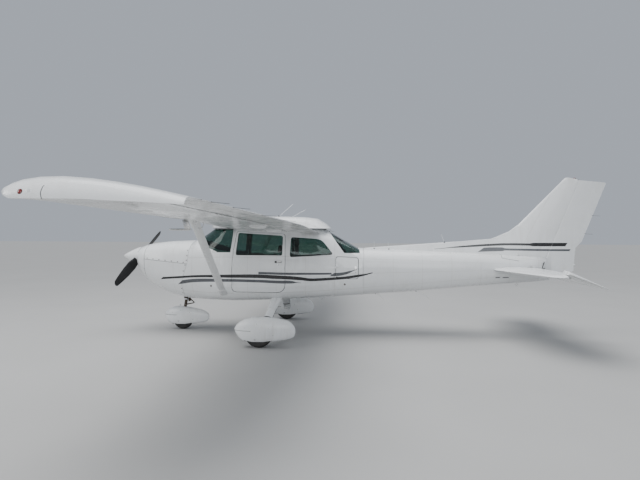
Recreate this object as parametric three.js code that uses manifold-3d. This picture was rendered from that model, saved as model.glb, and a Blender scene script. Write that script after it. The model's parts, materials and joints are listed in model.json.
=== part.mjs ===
// A four-seat, high-wing, strut-braced light aircraft on a fixed nose-wheel gear.
// Millimetres. X runs aft, Y to starboard, Z up; stations are first taken from the firewall,
// and the last lines move the origin to the floor under the middle of the aircraft.
import * as THREE from "three";
import { mergeVertices } from "three/addons/utils/BufferGeometryUtils.js";
import Module from "manifold-3d";

const wasm = await Module();
wasm.setup();

// Driving dimensions
const RAD = Math.PI / 180;
const TOUCH = 0.4; // gap between pieces that bear on each other
const GAP = 7; // running gap round doors and control surfaces
const SPINNER_TIP_X = -1286;
const TAIL_END_X = 6955;
const THRUST_Z = 1285;

// Fuselage body: x, half width, lowest z, highest z, height of the widest line, corner powers below and above
const HULL = [
  { x: -930, w: 215, low: 1120, high: 1430, wide: 1270, nLow: 2.4, nUp: 2.4 },
  { x: -900, w: 290, low: 1082, high: 1445, wide: 1267, nLow: 2.4, nUp: 2.4 },
  { x: -865, w: 345, low: 1030, high: 1460, wide: 1264, nLow: 2.4, nUp: 2.4 },
  { x: -815, w: 400, low: 955, high: 1479, wide: 1259, nLow: 2.4, nUp: 2.4 },
  { x: -740, w: 443, low: 872, high: 1499, wide: 1251, nLow: 2.5, nUp: 2.5 },
  { x: -600, w: 480, low: 765, high: 1528, wide: 1240, nLow: 2.5, nUp: 2.6 },
  { x: -460, w: 494, low: 690, high: 1544, wide: 1230, nLow: 2.5, nUp: 2.7 },
  { x: -330, w: 504, low: 638, high: 1556, wide: 1220, nLow: 2.6, nUp: 2.8 },
  { x: 0, w: 522, low: 568, high: 1572, wide: 1190, nLow: 3.0, nUp: 3.0 },
  { x: 420, w: 541, low: 552, high: 1565, wide: 1150, nLow: 3.8, nUp: 3.0 },
  { x: 850, w: 549, low: 550, high: 1540, wide: 1120, nLow: 4.4, nUp: 2.8 },
  { x: 1700, w: 547, low: 586, high: 1505, wide: 1110, nLow: 4.4, nUp: 2.6 },
  { x: 2400, w: 513, low: 634, high: 1480, wide: 1120, nLow: 3.8, nUp: 2.5 },
  { x: 3000, w: 455, low: 672, high: 1458, wide: 1130, nLow: 3.2, nUp: 2.4 },
  { x: 3900, w: 355, low: 742, high: 1428, wide: 1135, nLow: 2.9, nUp: 2.3 },
  { x: 4900, w: 238, low: 842, high: 1390, wide: 1140, nLow: 2.6, nUp: 2.3 },
  { x: 5750, w: 130, low: 915, high: 1350, wide: 1140, nLow: 2.5, nUp: 2.3 },
  { x: 6060, w: 92, low: 948, high: 1328, wide: 1140, nLow: 2.4, nUp: 2.3 },
];
const RING = 24; // points round a fuselage section
const INNER_RING = 16; // and round a hollow

// Cabin top: z, front on the centre line, where the straight side starts, half width, where it ends, rear
const CABIN_TOP = [
  { z: 1130, front: -520, post: 790, w: 522, rear: 1300, back: 3480 },
  { z: 1420, front: -105, post: 822, w: 523, rear: 1700, back: 2986 },
  { z: 1570, front: 120, post: 850, w: 503, rear: 1650, back: 2725 },
  { z: 1779, front: 433, post: 884, w: 474, rear: 1600, back: 2362 },
];
const FRONT_POWER = 2.3;
const BACK_POWER = 3.5;
const WALL = 40; // cabin side, door and roof
const FLOOR_Z = 660;
const REAR_FLOOR = { x: 1850, z: 735 };
const CABIN = { firewall: 60, rear: 2990, joint: 3010, headliner: 1742, roof: 1779 };
const GLASS = 6;
const COWL_WALL = 10;
const TAIL_WALL = 14;

// Wing
const WING = {
  rootY: 560,
  tailZ: 1710,
  dihedral: 1.733,
  power: 0.12,
  camber: 0.02,
  camberAt: 0.4,
};
// spanwise station from the root rib, leading edge x, chord, twist in degrees (nose up), thickness share, droop
const WING_RIBS = [
  { s: -230, le: 630, chord: 1655, twist: 5, thick: 1, droop: 0 },
  { s: 1980, le: 630, chord: 1655, twist: 5, thick: 1, droop: 0 },
  { s: 4560, le: 785, chord: 1180, twist: 2, thick: 1.04, droop: -10 },
];
const TIP_RIBS = [
  { s: 4560.5, le: 785, chord: 1180, twist: 2, thick: 1.04, droop: -10 },
  { s: 4820, le: 806, chord: 1174, twist: 2.2, thick: 1.09, droop: 5 },
  { s: 4885, le: 832, chord: 1156, twist: 2.2, thick: 0.9, droop: 21 },
  { s: 4918, le: 866, chord: 1126, twist: 2.2, thick: 0.58, droop: 42 },
  { s: 4930, le: 906, chord: 1086, twist: 2.2, thick: 0.27, droop: 60 },
];
const FLAP = { s0: 24, s1: 1966, rest: 0, pivotDrop: 350 };
const AILERON = { s0: 1984, s1: 4490, x0: 1893, x1: 1700 };
const STRUT = {
  foot: [700, 548, 715],
  head: [965, 2610, 1822],
  chord: 118,
  thick: 44,
};

// Tail
const HINGE = { x: 5980, z: 1200, slope: 0.394 }; // rudder hinge line in the side view
const TAILPLANE = { z: 1120, hinge: 5820, halfSpan: 1727, hornY: 1500, horn: 142 };
const TAIL_RIBS = [
  { y: 0, le: 5080, te: 6275, t: 104 },
  { y: 1500, le: 5452, te: 6232, t: 70 },
  { y: 1660, le: 5500, te: 6225, t: 52 },
  { y: 1727, le: 5590, te: 6190, t: 26 },
];
const TORQUE_TUBE_R = 18;

// Landing gear
const MAIN = { x: 1480, y: 1265, r: 210, width: 156, rim: 82 };
const NOSE = { x: -172, r: 172, width: 124, rim: 66, rake: 8 };
const PROP = { r: 952, x: -985, rest: 62.6, hub: 74 };

const paint = (color, roughness = 0.35, metalness = 0) =>
  new THREE.MeshStandardMaterial({ color, roughness, metalness });
const MATERIALS = {
  white: paint(0xe9ecee),
  black: paint(0x0d0d0f, 0.45),
  tyre: paint(0x161616, 0.85),
  metal: paint(0x9aa0a4, 0.4, 0.9),
  steel: paint(0x2b2c2e, 0.5, 0.6),
  seat: paint(0x3a3f45, 0.8),
  trim: paint(0x24272a, 0.8),
  glass: new THREE.MeshStandardMaterial({ color: 0x6f9488, roughness: 0.1, transparent: true, opacity: 0.4 }),
};

const aircraft = new THREE.Group();

// Turns a closed geometry into a solid whose faces point out.
function solid(geometry) {
  const bare = geometry.index ? geometry.toNonIndexed() : geometry.clone();
  for (const name of Object.keys(bare.attributes)) {
    if (name !== "position") bare.deleteAttribute(name);
  }
  const merged = mergeVertices(bare, 1e-3);
  const index = Array.from(merged.index.array);
  const p = merged.attributes.position.array;
  const kept = [];
  let volume = 0;
  for (let i = 0; i < index.length; i += 3) {
    const [a, b, c] = [index[i], index[i + 1], index[i + 2]];
    if (a === b || b === c || a === c) continue;
    kept.push(a, b, c);
    const [ax, ay, az] = [p[3 * a], p[3 * a + 1], p[3 * a + 2]];
    const [bx, by, bz] = [p[3 * b], p[3 * b + 1], p[3 * b + 2]];
    const [cx, cy, cz] = [p[3 * c], p[3 * c + 1], p[3 * c + 2]];
    volume += ax * (by * cz - bz * cy) + ay * (bz * cx - bx * cz) + az * (bx * cy - by * cx);
  }
  if (volume < 0) {
    for (let i = 0; i < kept.length; i += 3) [kept[i + 1], kept[i + 2]] = [kept[i + 2], kept[i + 1]];
  }
  return new wasm.Manifold(
    new wasm.Mesh({ numProp: 3, vertProperties: p, triVerts: new Uint32Array(kept) }),
  );
}

// Adds a solid to the aircraft as a named mesh.
function node(name, made, material) {
  const mesh = made.getMesh();
  const position = new Float32Array(mesh.numVert * 3);
  for (let i = 0; i < mesh.numVert; i++) {
    position.set(mesh.vertProperties.subarray(i * mesh.numProp, i * mesh.numProp + 3), i * 3);
  }
  const geometry = new THREE.BufferGeometry()
    .setAttribute("position", new THREE.BufferAttribute(position, 3))
    .setIndex(new THREE.BufferAttribute(new Uint32Array(mesh.triVerts), 1));
  geometry.computeVertexNormals();
  const built = new THREE.Mesh(geometry, MATERIALS[material]);
  built.name = name;
  aircraft.add(built);
  return made;
}

// Skin through a list of closed rings with the same number of points, capped at both ends.
function loft(rings) {
  const n = rings[0].length;
  const points = rings.flat().map((p) => new THREE.Vector3(...p));
  const index = [];
  for (let r = 0; r + 1 < rings.length; r++) {
    for (let i = 0; i < n; i++) {
      const [a, b] = [r * n + i, r * n + ((i + 1) % n)];
      index.push(a, b, b + n, a, b + n, a + n);
    }
  }
  for (const [start, turn] of [
    [0, 1],
    [(rings.length - 1) * n, 0],
  ]) {
    const centre = new THREE.Vector3();
    for (let i = 0; i < n; i++) centre.addScaledVector(points[start + i], 1 / n);
    points.push(centre);
    for (let i = 0; i < n; i++) {
      const [a, b] = [start + i, start + ((i + 1) % n)];
      index.push(points.length - 1, turn ? b : a, turn ? a : b);
    }
  }
  return solid(new THREE.BufferGeometry().setFromPoints(points).setIndex(index));
}

const shapeOf = (points) => new THREE.Shape(points.map(([x, y]) => new THREE.Vector2(x, y)));

// A polygon with its corners cut round: each point may carry a radius as its third number.
function rounded(points, steps = 4) {
  const out = [];
  points.forEach(([x, y, r = 0], i) => {
    if (!r) {
      out.push([x, y]);
      return;
    }
    const here = new THREE.Vector2(x, y);
    const before = new THREE.Vector2(...points.at(i - 1)).sub(here).normalize();
    const after = new THREE.Vector2(...points[(i + 1) % points.length]).sub(here).normalize();
    const a = here.clone().addScaledVector(before, r);
    const b = here.clone().addScaledVector(after, r);
    new THREE.QuadraticBezierCurve(a, here, b).getPoints(steps).forEach((p) => out.push([p.x, p.y]));
  });
  return out;
}

// A side-view (x, z) outline run from y0 to y1.
function sidePrism(points, y0, y1) {
  const g = new THREE.ExtrudeGeometry(shapeOf(points), { depth: y1 - y0, bevelEnabled: false });
  return solid(g.rotateX(90 * RAD).translate(0, y1, 0));
}

// A plan-view (x, y) outline run from z0 to z1.
function planPrism(points, z0, z1) {
  const g = new THREE.ExtrudeGeometry(shapeOf(points), { depth: z1 - z0, bevelEnabled: false });
  return solid(g.translate(0, 0, z0));
}

function box(x0, x1, y0, y1, z0, z1) {
  const g = new THREE.BoxGeometry(x1 - x0, Math.abs(y1 - y0), z1 - z0);
  return solid(g.translate((x0 + x1) / 2, (y0 + y1) / 2, (z0 + z1) / 2));
}

// A round bar, or a cone, between two points.
function bar(from, to, r0, r1 = r0, sides = 12) {
  const [a, b] = [new THREE.Vector3(...from), new THREE.Vector3(...to)];
  const along = b.clone().sub(a);
  const g = new THREE.CylinderGeometry(r1, r0, along.length(), sides);
  const turn = new THREE.Quaternion().setFromUnitVectors(new THREE.Vector3(0, 1, 0), along.clone().normalize());
  const middle = a.addScaledVector(along, 0.5);
  return solid(g.applyQuaternion(turn).translate(middle.x, middle.y, middle.z));
}

const lerp = (a, b, t) => a + (b - a) * t;

// A row between two rows of a table, at the given value of its key.
function between(table, key, value) {
  const last = table.length - 1;
  let i = table.findIndex((row, k) => k < last && value <= table[k + 1][key]);
  if (i < 0) i = last - 1;
  const t = (value - table[i][key]) / (table[i + 1][key] - table[i][key]);
  return Object.fromEntries(Object.keys(table[i]).map((k) => [k, lerp(table[i][k], table[i + 1][k], t)]));
}

// Fuselage

function hullRing(row, inset, count) {
  const ring = [];
  for (let i = 0; i < count; i++) {
    const a = (2 * Math.PI * i) / count;
    const [c, s] = [Math.cos(a), Math.sin(a)];
    const power = s >= 0 ? row.nUp : row.nLow;
    const reach = s >= 0 ? row.high - inset - row.wide : row.wide - row.low - inset;
    const y = (row.w - inset) * Math.sign(c) * Math.abs(c) ** (2 / power);
    ring.push([row.x, y, row.wide + Math.sign(s) * reach * Math.abs(s) ** (2 / power)]);
  }
  return ring;
}

// The fuselage body from x0 to x1, its skin moved in by inset.
function hull(x0, x1, inset = 0, count = RING) {
  const rows = [between(HULL, "x", x0), ...HULL.filter((r) => r.x > x0 && r.x < x1), between(HULL, "x", x1)];
  return loft(rows.map((row) => hullRing(row, inset, count)));
}

const END_STEPS = 6;

// A plan outline of the cabin top at one height: rounded front, straight sides, rounded back.
function topRing(row, inset) {
  const quarter = (x, tip, power, k) => {
    const a = (k / END_STEPS) * 90 * RAD;
    const reach = Math.abs(Math.cos(a)) ** (2 / power);
    return [x + (tip - x) * reach, (row.w - inset) * Math.abs(Math.sin(a)) ** (2 / power)];
  };
  const half = [];
  for (let k = 0; k <= END_STEPS; k++) half.push(quarter(row.post, row.front + 1.3 * inset, FRONT_POWER, k));
  for (let k = END_STEPS; k >= 0; k--) half.push(quarter(row.rear, row.back - 1.3 * inset, BACK_POWER, k));
  const port = half.slice(1, -1).reverse();
  return [...half, ...port.map(([x, y]) => [x, -y])].map(([x, y]) => [x, y, row.z]);
}

function cabinTop(z0, z1, inset = 0) {
  const rows = [between(CABIN_TOP, "z", z0), ...CABIN_TOP.filter((r) => r.z > z0 && r.z < z1), between(CABIN_TOP, "z", z1)];
  return loft(rows.map((row) => topRing(row, inset)));
}

const WIDE = 900; // half length of a cut that goes right through the cabin
const COWL_EDGE = [
  [130, 1640],
  [112, 1450],
  [95, 1215],
  [-15, 880],
  [-15, 480],
];
const DOOR = [
  [850, 722, 80],
  [850, 1180],
  [874, 1418],
  [900, 1569],
  [924, 1727, 30],
  [1738, 1692, 60],
  [1745, 1200],
  [1745, 722, 150],
];
const DOOR_GLASS = [
  [912, 1332, 30],
  [952, 1702, 30],
  [1697, 1655, 40],
  [1690, 1332, 30],
];
const SIDE_GLASS = [
  [1830, 1636, 40],
  [2325, 1604, 90],
  [2532, 1352, 60],
  [1812, 1306, 40],
];
const BAGGAGE = [
  [2560, 960, 50],
  [2560, 1330, 50],
  [2935, 1310, 50],
  [2935, 960, 50],
];
const SCREEN = [
  [100, 1380],
  [822, 1380],
  [846, 1569],
  [866, 1764],
  [100, 1764],
];
const BACKLIGHT = [
  [2700, 1380],
  [2472, 1686],
  [2400, 1764],
  [3200, 1764],
  [3200, 1380],
];

// Moves every edge of a convex outline in by d.
function shrink(points, d) {
  const n = points.length;
  const area = points.reduce((s, [x, y], i) => s + x * points[(i + 1) % n][1] - points[(i + 1) % n][0] * y, 0);
  const turn = Math.sign(area);
  const edges = points.map(([x, y], i) => {
    const [u, v] = points[(i + 1) % n];
    const length = Math.hypot(u - x, v - y);
    const [nx, ny] = [(-turn * (v - y)) / length, (turn * (u - x)) / length];
    return { x: x + nx * d, y: y + ny * d, dx: u - x, dy: v - y };
  });
  return points.map((p, i) => {
    const [e, f] = [edges.at(i - 1), edges[i]];
    const cross = e.dx * f.dy - e.dy * f.dx;
    const t = ((f.x - e.x) * f.dy - (f.y - e.y) * f.dx) / cross;
    return [e.x + e.dx * t, e.y + e.dy * t, ...(p[2] ? [p[2]] : [])];
  });
}

const bothSides = (outline) => sidePrism(rounded(outline), -WIDE, WIDE);
const starboard = (outline, y0 = 300) => sidePrism(rounded(outline), y0, WIDE);
const port = (outline, y0 = 300) => sidePrism(rounded(outline), -WIDE, -y0);

const cabinOuter = hull(-60, CABIN.joint).add(cabinTop(1132, CABIN.roof));
const aftOfCowl = sidePrism([...COWL_EDGE, [CABIN.joint, 480], [CABIN.joint, 1640]], -WIDE, WIDE).add(
  box(300, CABIN.joint, -WIDE, WIDE, 1500, 1900),
);
const cavity = hull(CABIN.firewall + 80, CABIN.rear, WALL, INNER_RING)
  .subtract(box(-100, 3100, -WIDE, WIDE, 400, FLOOR_Z))
  .subtract(box(REAR_FLOOR.x, 3100, -WIDE, WIDE, 400, REAR_FLOOR.z))
  .add(cabinTop(1140, CABIN.headliner, WALL).intersect(box(CABIN.firewall + 80, CABIN.rear, -WIDE, WIDE, 1100, 1800)));
const skinHull = hull(-60, 3200, -TOUCH);
const paneSkin = hull(-60, 3200, -2 * TOUCH);

// An outside strap hinge: one half stays on the post, the other turns with the door.
const HINGE_R = 5;
function strapHinge({ x, y }, z) {
  const side = Math.sign(y);
  const knuckle = (z0, z1) => bar([x, y, z0], [x, y, z1], HINGE_R);
  const strap = (x0, x1, z0, z1) => box(x0, x1, y - 12 * side, y + 4 * side, z0, z1);
  return {
    post: knuckle(z, z + 20).add(strap(x - 24, x, z, z + 20)),
    leaf: knuckle(z + 20 + TOUCH, z + 40).add(strap(x, x + 28, z + 20 + TOUCH, z + 40)),
  };
}

// Keeps only what can swing out past the opening's rear edge.
const swingRoom = ({ x, y }, rear) => bar([x, y, 500], [x, y, 1900], rear - x - 5.5, rear - x - 5.5, 48);
const DOOR_AXIS = { x: 853.5, y: 552, heights: [850, 1130] };
const BAGGAGE_AXIS = { x: 2563.5, y: -503, heights: [985, 1130] };

function doorSolid(side) {
  const cut = side > 0 ? starboard : port;
  const axis = { ...DOOR_AXIS, y: side * DOOR_AXIS.y };
  let door = cabinOuter
    .subtract(cavity)
    .intersect(cut(shrink(DOOR, GAP)))
    .intersect(swingRoom(axis, 1745))
    .subtract(cut(DOOR_GLASS));
  for (const z of axis.heights) door = door.add(strapHinge(axis, z).leaf);
  return door;
}

// A pane set flush in its opening, its skin 4 mm in from the outer one.
function pane(outline, side) {
  const cut = side > 0 ? starboard : port;
  const sheet = cabinTop(1140, 1760, 4).subtract(cabinTop(1139, 1761, 4 + GLASS));
  return sheet.intersect(cut(shrink(outline, TOUCH)));
}

const screenSheet = cabinTop(1375, CABIN.headliner + 20, 3).subtract(cabinTop(1374, CABIN.headliner + 21, 3 + GLASS));

let cabinShell = cabinOuter
  .intersect(aftOfCowl)
  .subtract(cavity)
  .subtract(starboard(DOOR))
  .subtract(port(DOOR))
  .subtract(bothSides(SIDE_GLASS))
  .subtract(port(BAGGAGE))
  .subtract(bothSides(SCREEN).subtract(skinHull))
  .subtract(bothSides(BACKLIGHT).subtract(skinHull));
for (const side of [-1, 1]) {
  const axis = { ...DOOR_AXIS, y: side * DOOR_AXIS.y };
  for (const z of axis.heights) cabinShell = cabinShell.add(strapHinge(axis, z).post);
}
for (const z of BAGGAGE_AXIS.heights) cabinShell = cabinShell.add(strapHinge(BAGGAGE_AXIS, z).post);
node("cabin_shell", cabinShell, "white");
node("windshield", screenSheet.intersect(bothSides(shrink(SCREEN, TOUCH))).subtract(paneSkin), "glass");
node("rear_window", screenSheet.intersect(bothSides(shrink(BACKLIGHT, TOUCH))).subtract(paneSkin), "glass");
for (const [name, side] of [
  ["left", -1],
  ["right", 1],
]) {
  node(`door_${name}`, doorSolid(side), "white");
  node(`door_glass_${name}`, pane(DOOR_GLASS, side), "glass");
  node(`side_window_${name}`, pane(SIDE_GLASS, side), "glass");
}
let baggageDoor = cabinOuter
  .subtract(hull(100, 3100, 22, INNER_RING))
  .intersect(port(shrink(BAGGAGE, GAP), 250))
  .intersect(swingRoom(BAGGAGE_AXIS, 2935));
for (const z of BAGGAGE_AXIS.heights) baggageDoor = baggageDoor.add(strapHinge(BAGGAGE_AXIS, z).leaf);
node("baggage_door", baggageDoor, "white");

// Wing section

// Height of the wing's upper or lower skin over its chord line, as a share of the chord.
function airfoil(t, upper, thick = 1) {
  const half = 5 * WING.power * thick * (0.2969 * Math.sqrt(t) - 0.126 * t - 0.3516 * t ** 2 + 0.2843 * t ** 3 - 0.1015 * t ** 4);
  const p = WING.camberAt;
  const mean = t < p ? (WING.camber / p ** 2) * (2 * p * t - t * t) : (WING.camber / (1 - p) ** 2) * (1 - 2 * p + 2 * p * t - t * t);
  return upper ? mean + half : mean - half;
}

const COS = Math.cos(WING.dihedral * RAD);
const SIN = Math.sin(WING.dihedral * RAD);

// Height of a point at a share of the chord, on the upper (1), lower (-1) or mean (0) line.
function skinZ(rib, t, level) {
  const high = airfoil(t, true, rib.thick);
  const low = airfoil(t, false, rib.thick);
  const shape = level > 0 ? high : level < 0 ? low : (high + low) / 2;
  return WING.tailZ + rib.s * SIN + (1 - t) * rib.chord * Math.tan(rib.twist * RAD) + shape * rib.chord - rib.droop;
}

// Roof between the wings: a crowned slab from the windshield to over the rear window
const ROOF_TOP = [
  [0, 1806],
  [0.03, 1846],
  [0.09, 1894],
  [0.19, 1940],
  [0.32, 1976],
  [0.47, 1991],
  [0.64, 1993],
  [0.78, 1984],
  [0.885, 1957],
  [0.96, 1868],
  [1, 1792],
];
const ROOF_Z = CABIN.roof + TOUCH;

function roofRing(y, front, back, blend) {
  const rib = { ...WING_RIBS[0], s: 0 };
  const top = ROOF_TOP.map(([t, z]) => {
    const x = lerp(front, back, t);
    const share = Math.min(1, Math.max(0, (x - rib.le) / rib.chord));
    const skin = skinZ(rib, share, 1);
    return [x, y, Math.max(ROOF_Z + 6, lerp(z, skin, blend))];
  });
  const under = ROOF_TOP.slice()
    .reverse()
    .map(([t]) => [lerp(front, back, t), y, ROOF_Z]);
  return [...top, ...under];
}
node(
  "roof",
  loft(
    [
      [-560, 600, 2050, 1],
      [-505, 540, 2240, 0.55],
      [-380, 470, 2420, 0.14],
      [0, 440, 2452, 0],
      [380, 470, 2420, 0.14],
      [505, 540, 2240, 0.55],
      [560, 600, 2050, 1],
    ].map((row) => roofRing(...row)),
  ),
  "white",
);

// Cowling, firewall and engine
const edgeAt = (shift) => COWL_EDGE.map(([x, z]) => [x + shift, z]);
const FIREWALL = 6;
const aheadOf = (shift) => sidePrism([...edgeAt(shift), [-1200, 480], [-1200, 1640]], -WIDE, WIDE);
const SPLIT = [
  [-690, 1252],
  [300, 1158],
];
const splitUp = (d) =>
  sidePrism([[SPLIT[0][0] - d, SPLIT[0][1] - d], [SPLIT[1][0], SPLIT[1][1] - d], [300, 1800], [SPLIT[0][0] - d, 1800]], -WIDE, WIDE);
const cowlShell = hull(-930, 200)
  .subtract(hull(-930 + COWL_WALL, 201, COWL_WALL, INNER_RING))
  .intersect(aheadOf(-TOUCH));
const INLET = { y: 235, z: 1300, halfWidth: 120, halfHeight: 62 };
let inlets = bar([-1000, 0, THRUST_Z], [-900, 0, THRUST_Z], 84, 84, 24);
for (const side of [-1, 1]) {
  const g = new THREE.CylinderGeometry(1, 1, 200, 20).rotateZ(90 * RAD);
  g.scale(1, INLET.halfWidth, INLET.halfHeight).translate(-930, side * INLET.y, INLET.z);
  inlets = inlets.add(solid(g));
}
const OUTLET = { x0: -215, x1: 30, halfWidth: 150 };
const outlet = box(OUTLET.x0, OUTLET.x1, -OUTLET.halfWidth, OUTLET.halfWidth, 400, 700);
const capRoom = (end) => box(-1200, end, -WIDE, WIDE, 400, 1700);
node("nose_cap", cowlShell.intersect(capRoom(SPLIT[0][0] - TOUCH)).subtract(inlets), "white");
node("cowl_upper", cowlShell.intersect(splitUp(0)), "white");
node("cowl_lower", cowlShell.subtract(splitUp(TOUCH)).subtract(capRoom(SPLIT[0][0])).subtract(outlet), "white");
const fireSheet = hull(-60, 200, COWL_WALL + TOUCH, INNER_RING).intersect(aheadOf(-TOUCH)).subtract(aheadOf(-TOUCH - FIREWALL));
node("firewall", fireSheet, "metal");
const aheadOfFirewall = aheadOf(-2 * TOUCH - FIREWALL);
const ENGINE = { x0: -740, x1: -120, y: 350, z0: 1020, z1: 1400 };
let engine = box(ENGINE.x0, ENGINE.x1, -ENGINE.y, ENGINE.y, ENGINE.z0, ENGINE.z1).add(
  bar([ENGINE.x0 + 5, 0, THRUST_Z], [PROP.x + 50 + TOUCH, 0, THRUST_Z], 55, 55, 20),
);
for (const y of [-230, 230]) {
  for (const z of [1070, 1330]) engine = engine.add(bar([ENGINE.x1 - 5, y, z], [150, y, z], 16, 16, 10));
}
node("engine", engine.intersect(aheadOfFirewall), "metal");
const EXHAUST = { x: -165, y: 105, r: 30 };
node(
  "exhaust",
  bar([EXHAUST.x, EXHAUST.y, ENGINE.z0 - TOUCH], [EXHAUST.x, EXHAUST.y, 640], EXHAUST.r)
    .add(bar([EXHAUST.x - 4, EXHAUST.y, 655], [EXHAUST.x + 75, EXHAUST.y, 480], EXHAUST.r))
    .subtract(bar([EXHAUST.x, EXHAUST.y, 640], [EXHAUST.x + 80, EXHAUST.y, 469], EXHAUST.r - 4)),
  "steel",
);

// Propeller and spinner
// radius from the centre, chord, thickness, pitch angle
const BLADE = [
  { r: 40, c: 92, t: 50, pitch: 52 },
  { r: 150, c: 118, t: 36, pitch: 44 },
  { r: 330, c: 160, t: 24, pitch: 33 },
  { r: 560, c: 158, t: 16, pitch: 24 },
  { r: 780, c: 128, t: 11, pitch: 19 },
  { r: 915, c: 98, t: 8, pitch: 16 },
  { r: PROP.r, c: 40, t: 5, pitch: 15 },
];

function blade(down, grow = 0) {
  const a = PROP.rest * RAD;
  const u = new THREE.Vector3(0, -Math.sin(a), -Math.cos(a)).multiplyScalar(down);
  const ahead = new THREE.Vector3(-1, 0, 0);
  const turn = ahead.clone().cross(u);
  const rows = grow ? BLADE.slice(0, 3) : BLADE;
  return loft(
    rows.map(({ r, c, t, pitch }) => {
      const along = turn.clone().multiplyScalar(Math.cos(pitch * RAD)).addScaledVector(ahead, Math.sin(pitch * RAD));
      const across = u.clone().cross(along);
      return Array.from({ length: 12 }, (_, k) => {
        const f = (k * 30) * RAD;
        const p = u.clone().multiplyScalar(r);
        p.addScaledVector(along, (c / 2 + grow) * Math.cos(f)).addScaledVector(across, (t / 2 + grow) * Math.sin(f));
        return [PROP.x + p.x, p.y, THRUST_Z + p.z];
      });
    }),
  );
}
node("propeller", bar([PROP.x - 50, 0, THRUST_Z], [PROP.x + 50, 0, THRUST_Z], PROP.hub, PROP.hub, 24).add(blade(1)).add(blade(-1)), "black");

// A solid turned about an axis through the given centre: profile of (along, radius).
function turned(profile, centre, axis, sides = 24) {
  const points = [...profile, profile[0]].map(([along, r]) => new THREE.Vector2(r, along));
  const g = new THREE.LatheGeometry(points, sides);
  if (axis === "x") g.rotateZ(-90 * RAD);
  return solid(g.translate(...centre));
}
const SPINNER = [
  [SPINNER_TIP_X, 0],
  [SPINNER_TIP_X + 7, 11],
  [SPINNER_TIP_X + 30, 28],
  [SPINNER_TIP_X + 90, 64],
  [SPINNER_TIP_X + 160, 98],
  [SPINNER_TIP_X + 240, 133],
  [SPINNER_TIP_X + 300, 155],
  [SPINNER_TIP_X + 342, 166],
];
const spinnerInner = SPINNER.filter((row, i) => i % 2 === 0 && i < 6).map(([x, r]) => [x + 10, Math.max(0, r - 6)]);
const spinner = turned([...SPINNER, [SPINNER_TIP_X + 342, 0]], [0, 0, THRUST_Z], "x", 20)
  .subtract(turned([...spinnerInner, [SPINNER_TIP_X + 334, 157], [SPINNER_TIP_X + 334, 0]], [0, 0, THRUST_Z], "x", 20))
  .subtract(bar([-1000, 0, THRUST_Z], [-900, 0, THRUST_Z], PROP.hub + TOUCH, PROP.hub + TOUCH, 24))
  .subtract(blade(1, 4))
  .subtract(blade(-1, 4));
node("spinner", spinner, "white");

// Cabin fittings
const lining = hull(CABIN.firewall + 80, CABIN.rear, WALL + TOUCH, INNER_RING);
const PANEL = { x: 440, deep: 36, low: 985, high: 1372 };
let panel = lining.intersect(
  box(PANEL.x, PANEL.x + PANEL.deep, -WIDE, WIDE, PANEL.low, PANEL.high).add(
    box(210, PANEL.x + PANEL.deep + 60, -WIDE, WIDE, PANEL.high - 12, PANEL.high + 8),
  ),
);
for (const y of [-255, 255]) {
  panel = panel
    .add(bar([PANEL.x + 20, y, 1120], [680, y, 1120], 11, 11, 10))
    .add(bar([668, y - 128, 1150], [668, y + 128, 1150], 13, 13, 10))
    .add(bar([668, y - 122, 1140], [668, y - 142, 1236], 13, 13, 10))
    .add(bar([668, y + 122, 1140], [668, y + 142, 1236], 13, 13, 10))
    .add(box(655, 681, y - 34, y + 34, 1100, 1168));
}
node("instrument_panel", panel, "trim");

function seat(x, y, width, cushionZ, backTop, floorZ) {
  const outline = [
    [x, cushionZ - 90, 20],
    [x, cushionZ, 30],
    [x + 410, cushionZ - 30],
    [x + 520, backTop, 40],
    [x + 610, backTop, 40],
    [x + 520, cushionZ - 90, 40],
  ];
  const shape = sidePrism(rounded(outline), y - width / 2, y + width / 2);
  const base = box(x + 60, x + 440, y - width / 2 + 75, y + width / 2 - 75, floorZ + TOUCH, cushionZ - 80);
  return shape.add(base);
}
node("front_seat_left", seat(1075, -238, 400, 940, 1520, FLOOR_Z), "seat");
node("front_seat_right", seat(1075, 238, 400, 940, 1520, FLOOR_Z), "seat");
node("rear_bench", seat(1930, 0, 830, 950, 1430, REAR_FLOOR.z), "seat");

// Wings
const SHARES = [0, 0.012, 0.04, 0.1, 0.2, 0.33, 0.48, 0.62, 0.76, 0.88, 1];
function wingRing(rib, side) {
  const y = side * (WING.rootY + rib.s * COS);
  const blunt = (t, level) => (t === 1 ? level * 1.5 : 0);
  const at = (t, level) => [rib.le + t * rib.chord, y, skinZ(rib, t, level) + blunt(t, level)];
  return [...SHARES.map((t) => at(t, 1)), ...SHARES.slice(1).reverse().map((t) => at(t, -1))];
}

// A section (x, z at the root rib) run along the wing from s0 to s1.
function spanPrism(points, side, s0, s1) {
  const g = new THREE.ExtrudeGeometry(shapeOf(points), { depth: s1 - s0, bevelEnabled: false });
  g.translate(0, -WING.tailZ, s0);
  const m = new THREE.Matrix4().makeBasis(
    new THREE.Vector3(1, 0, 0),
    new THREE.Vector3(0, -side * SIN, COS),
    new THREE.Vector3(0, side * COS, SIN),
  );
  m.setPosition(0, side * WING.rootY, WING.tailZ);
  return solid(g.applyMatrix4(m));
}

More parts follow.
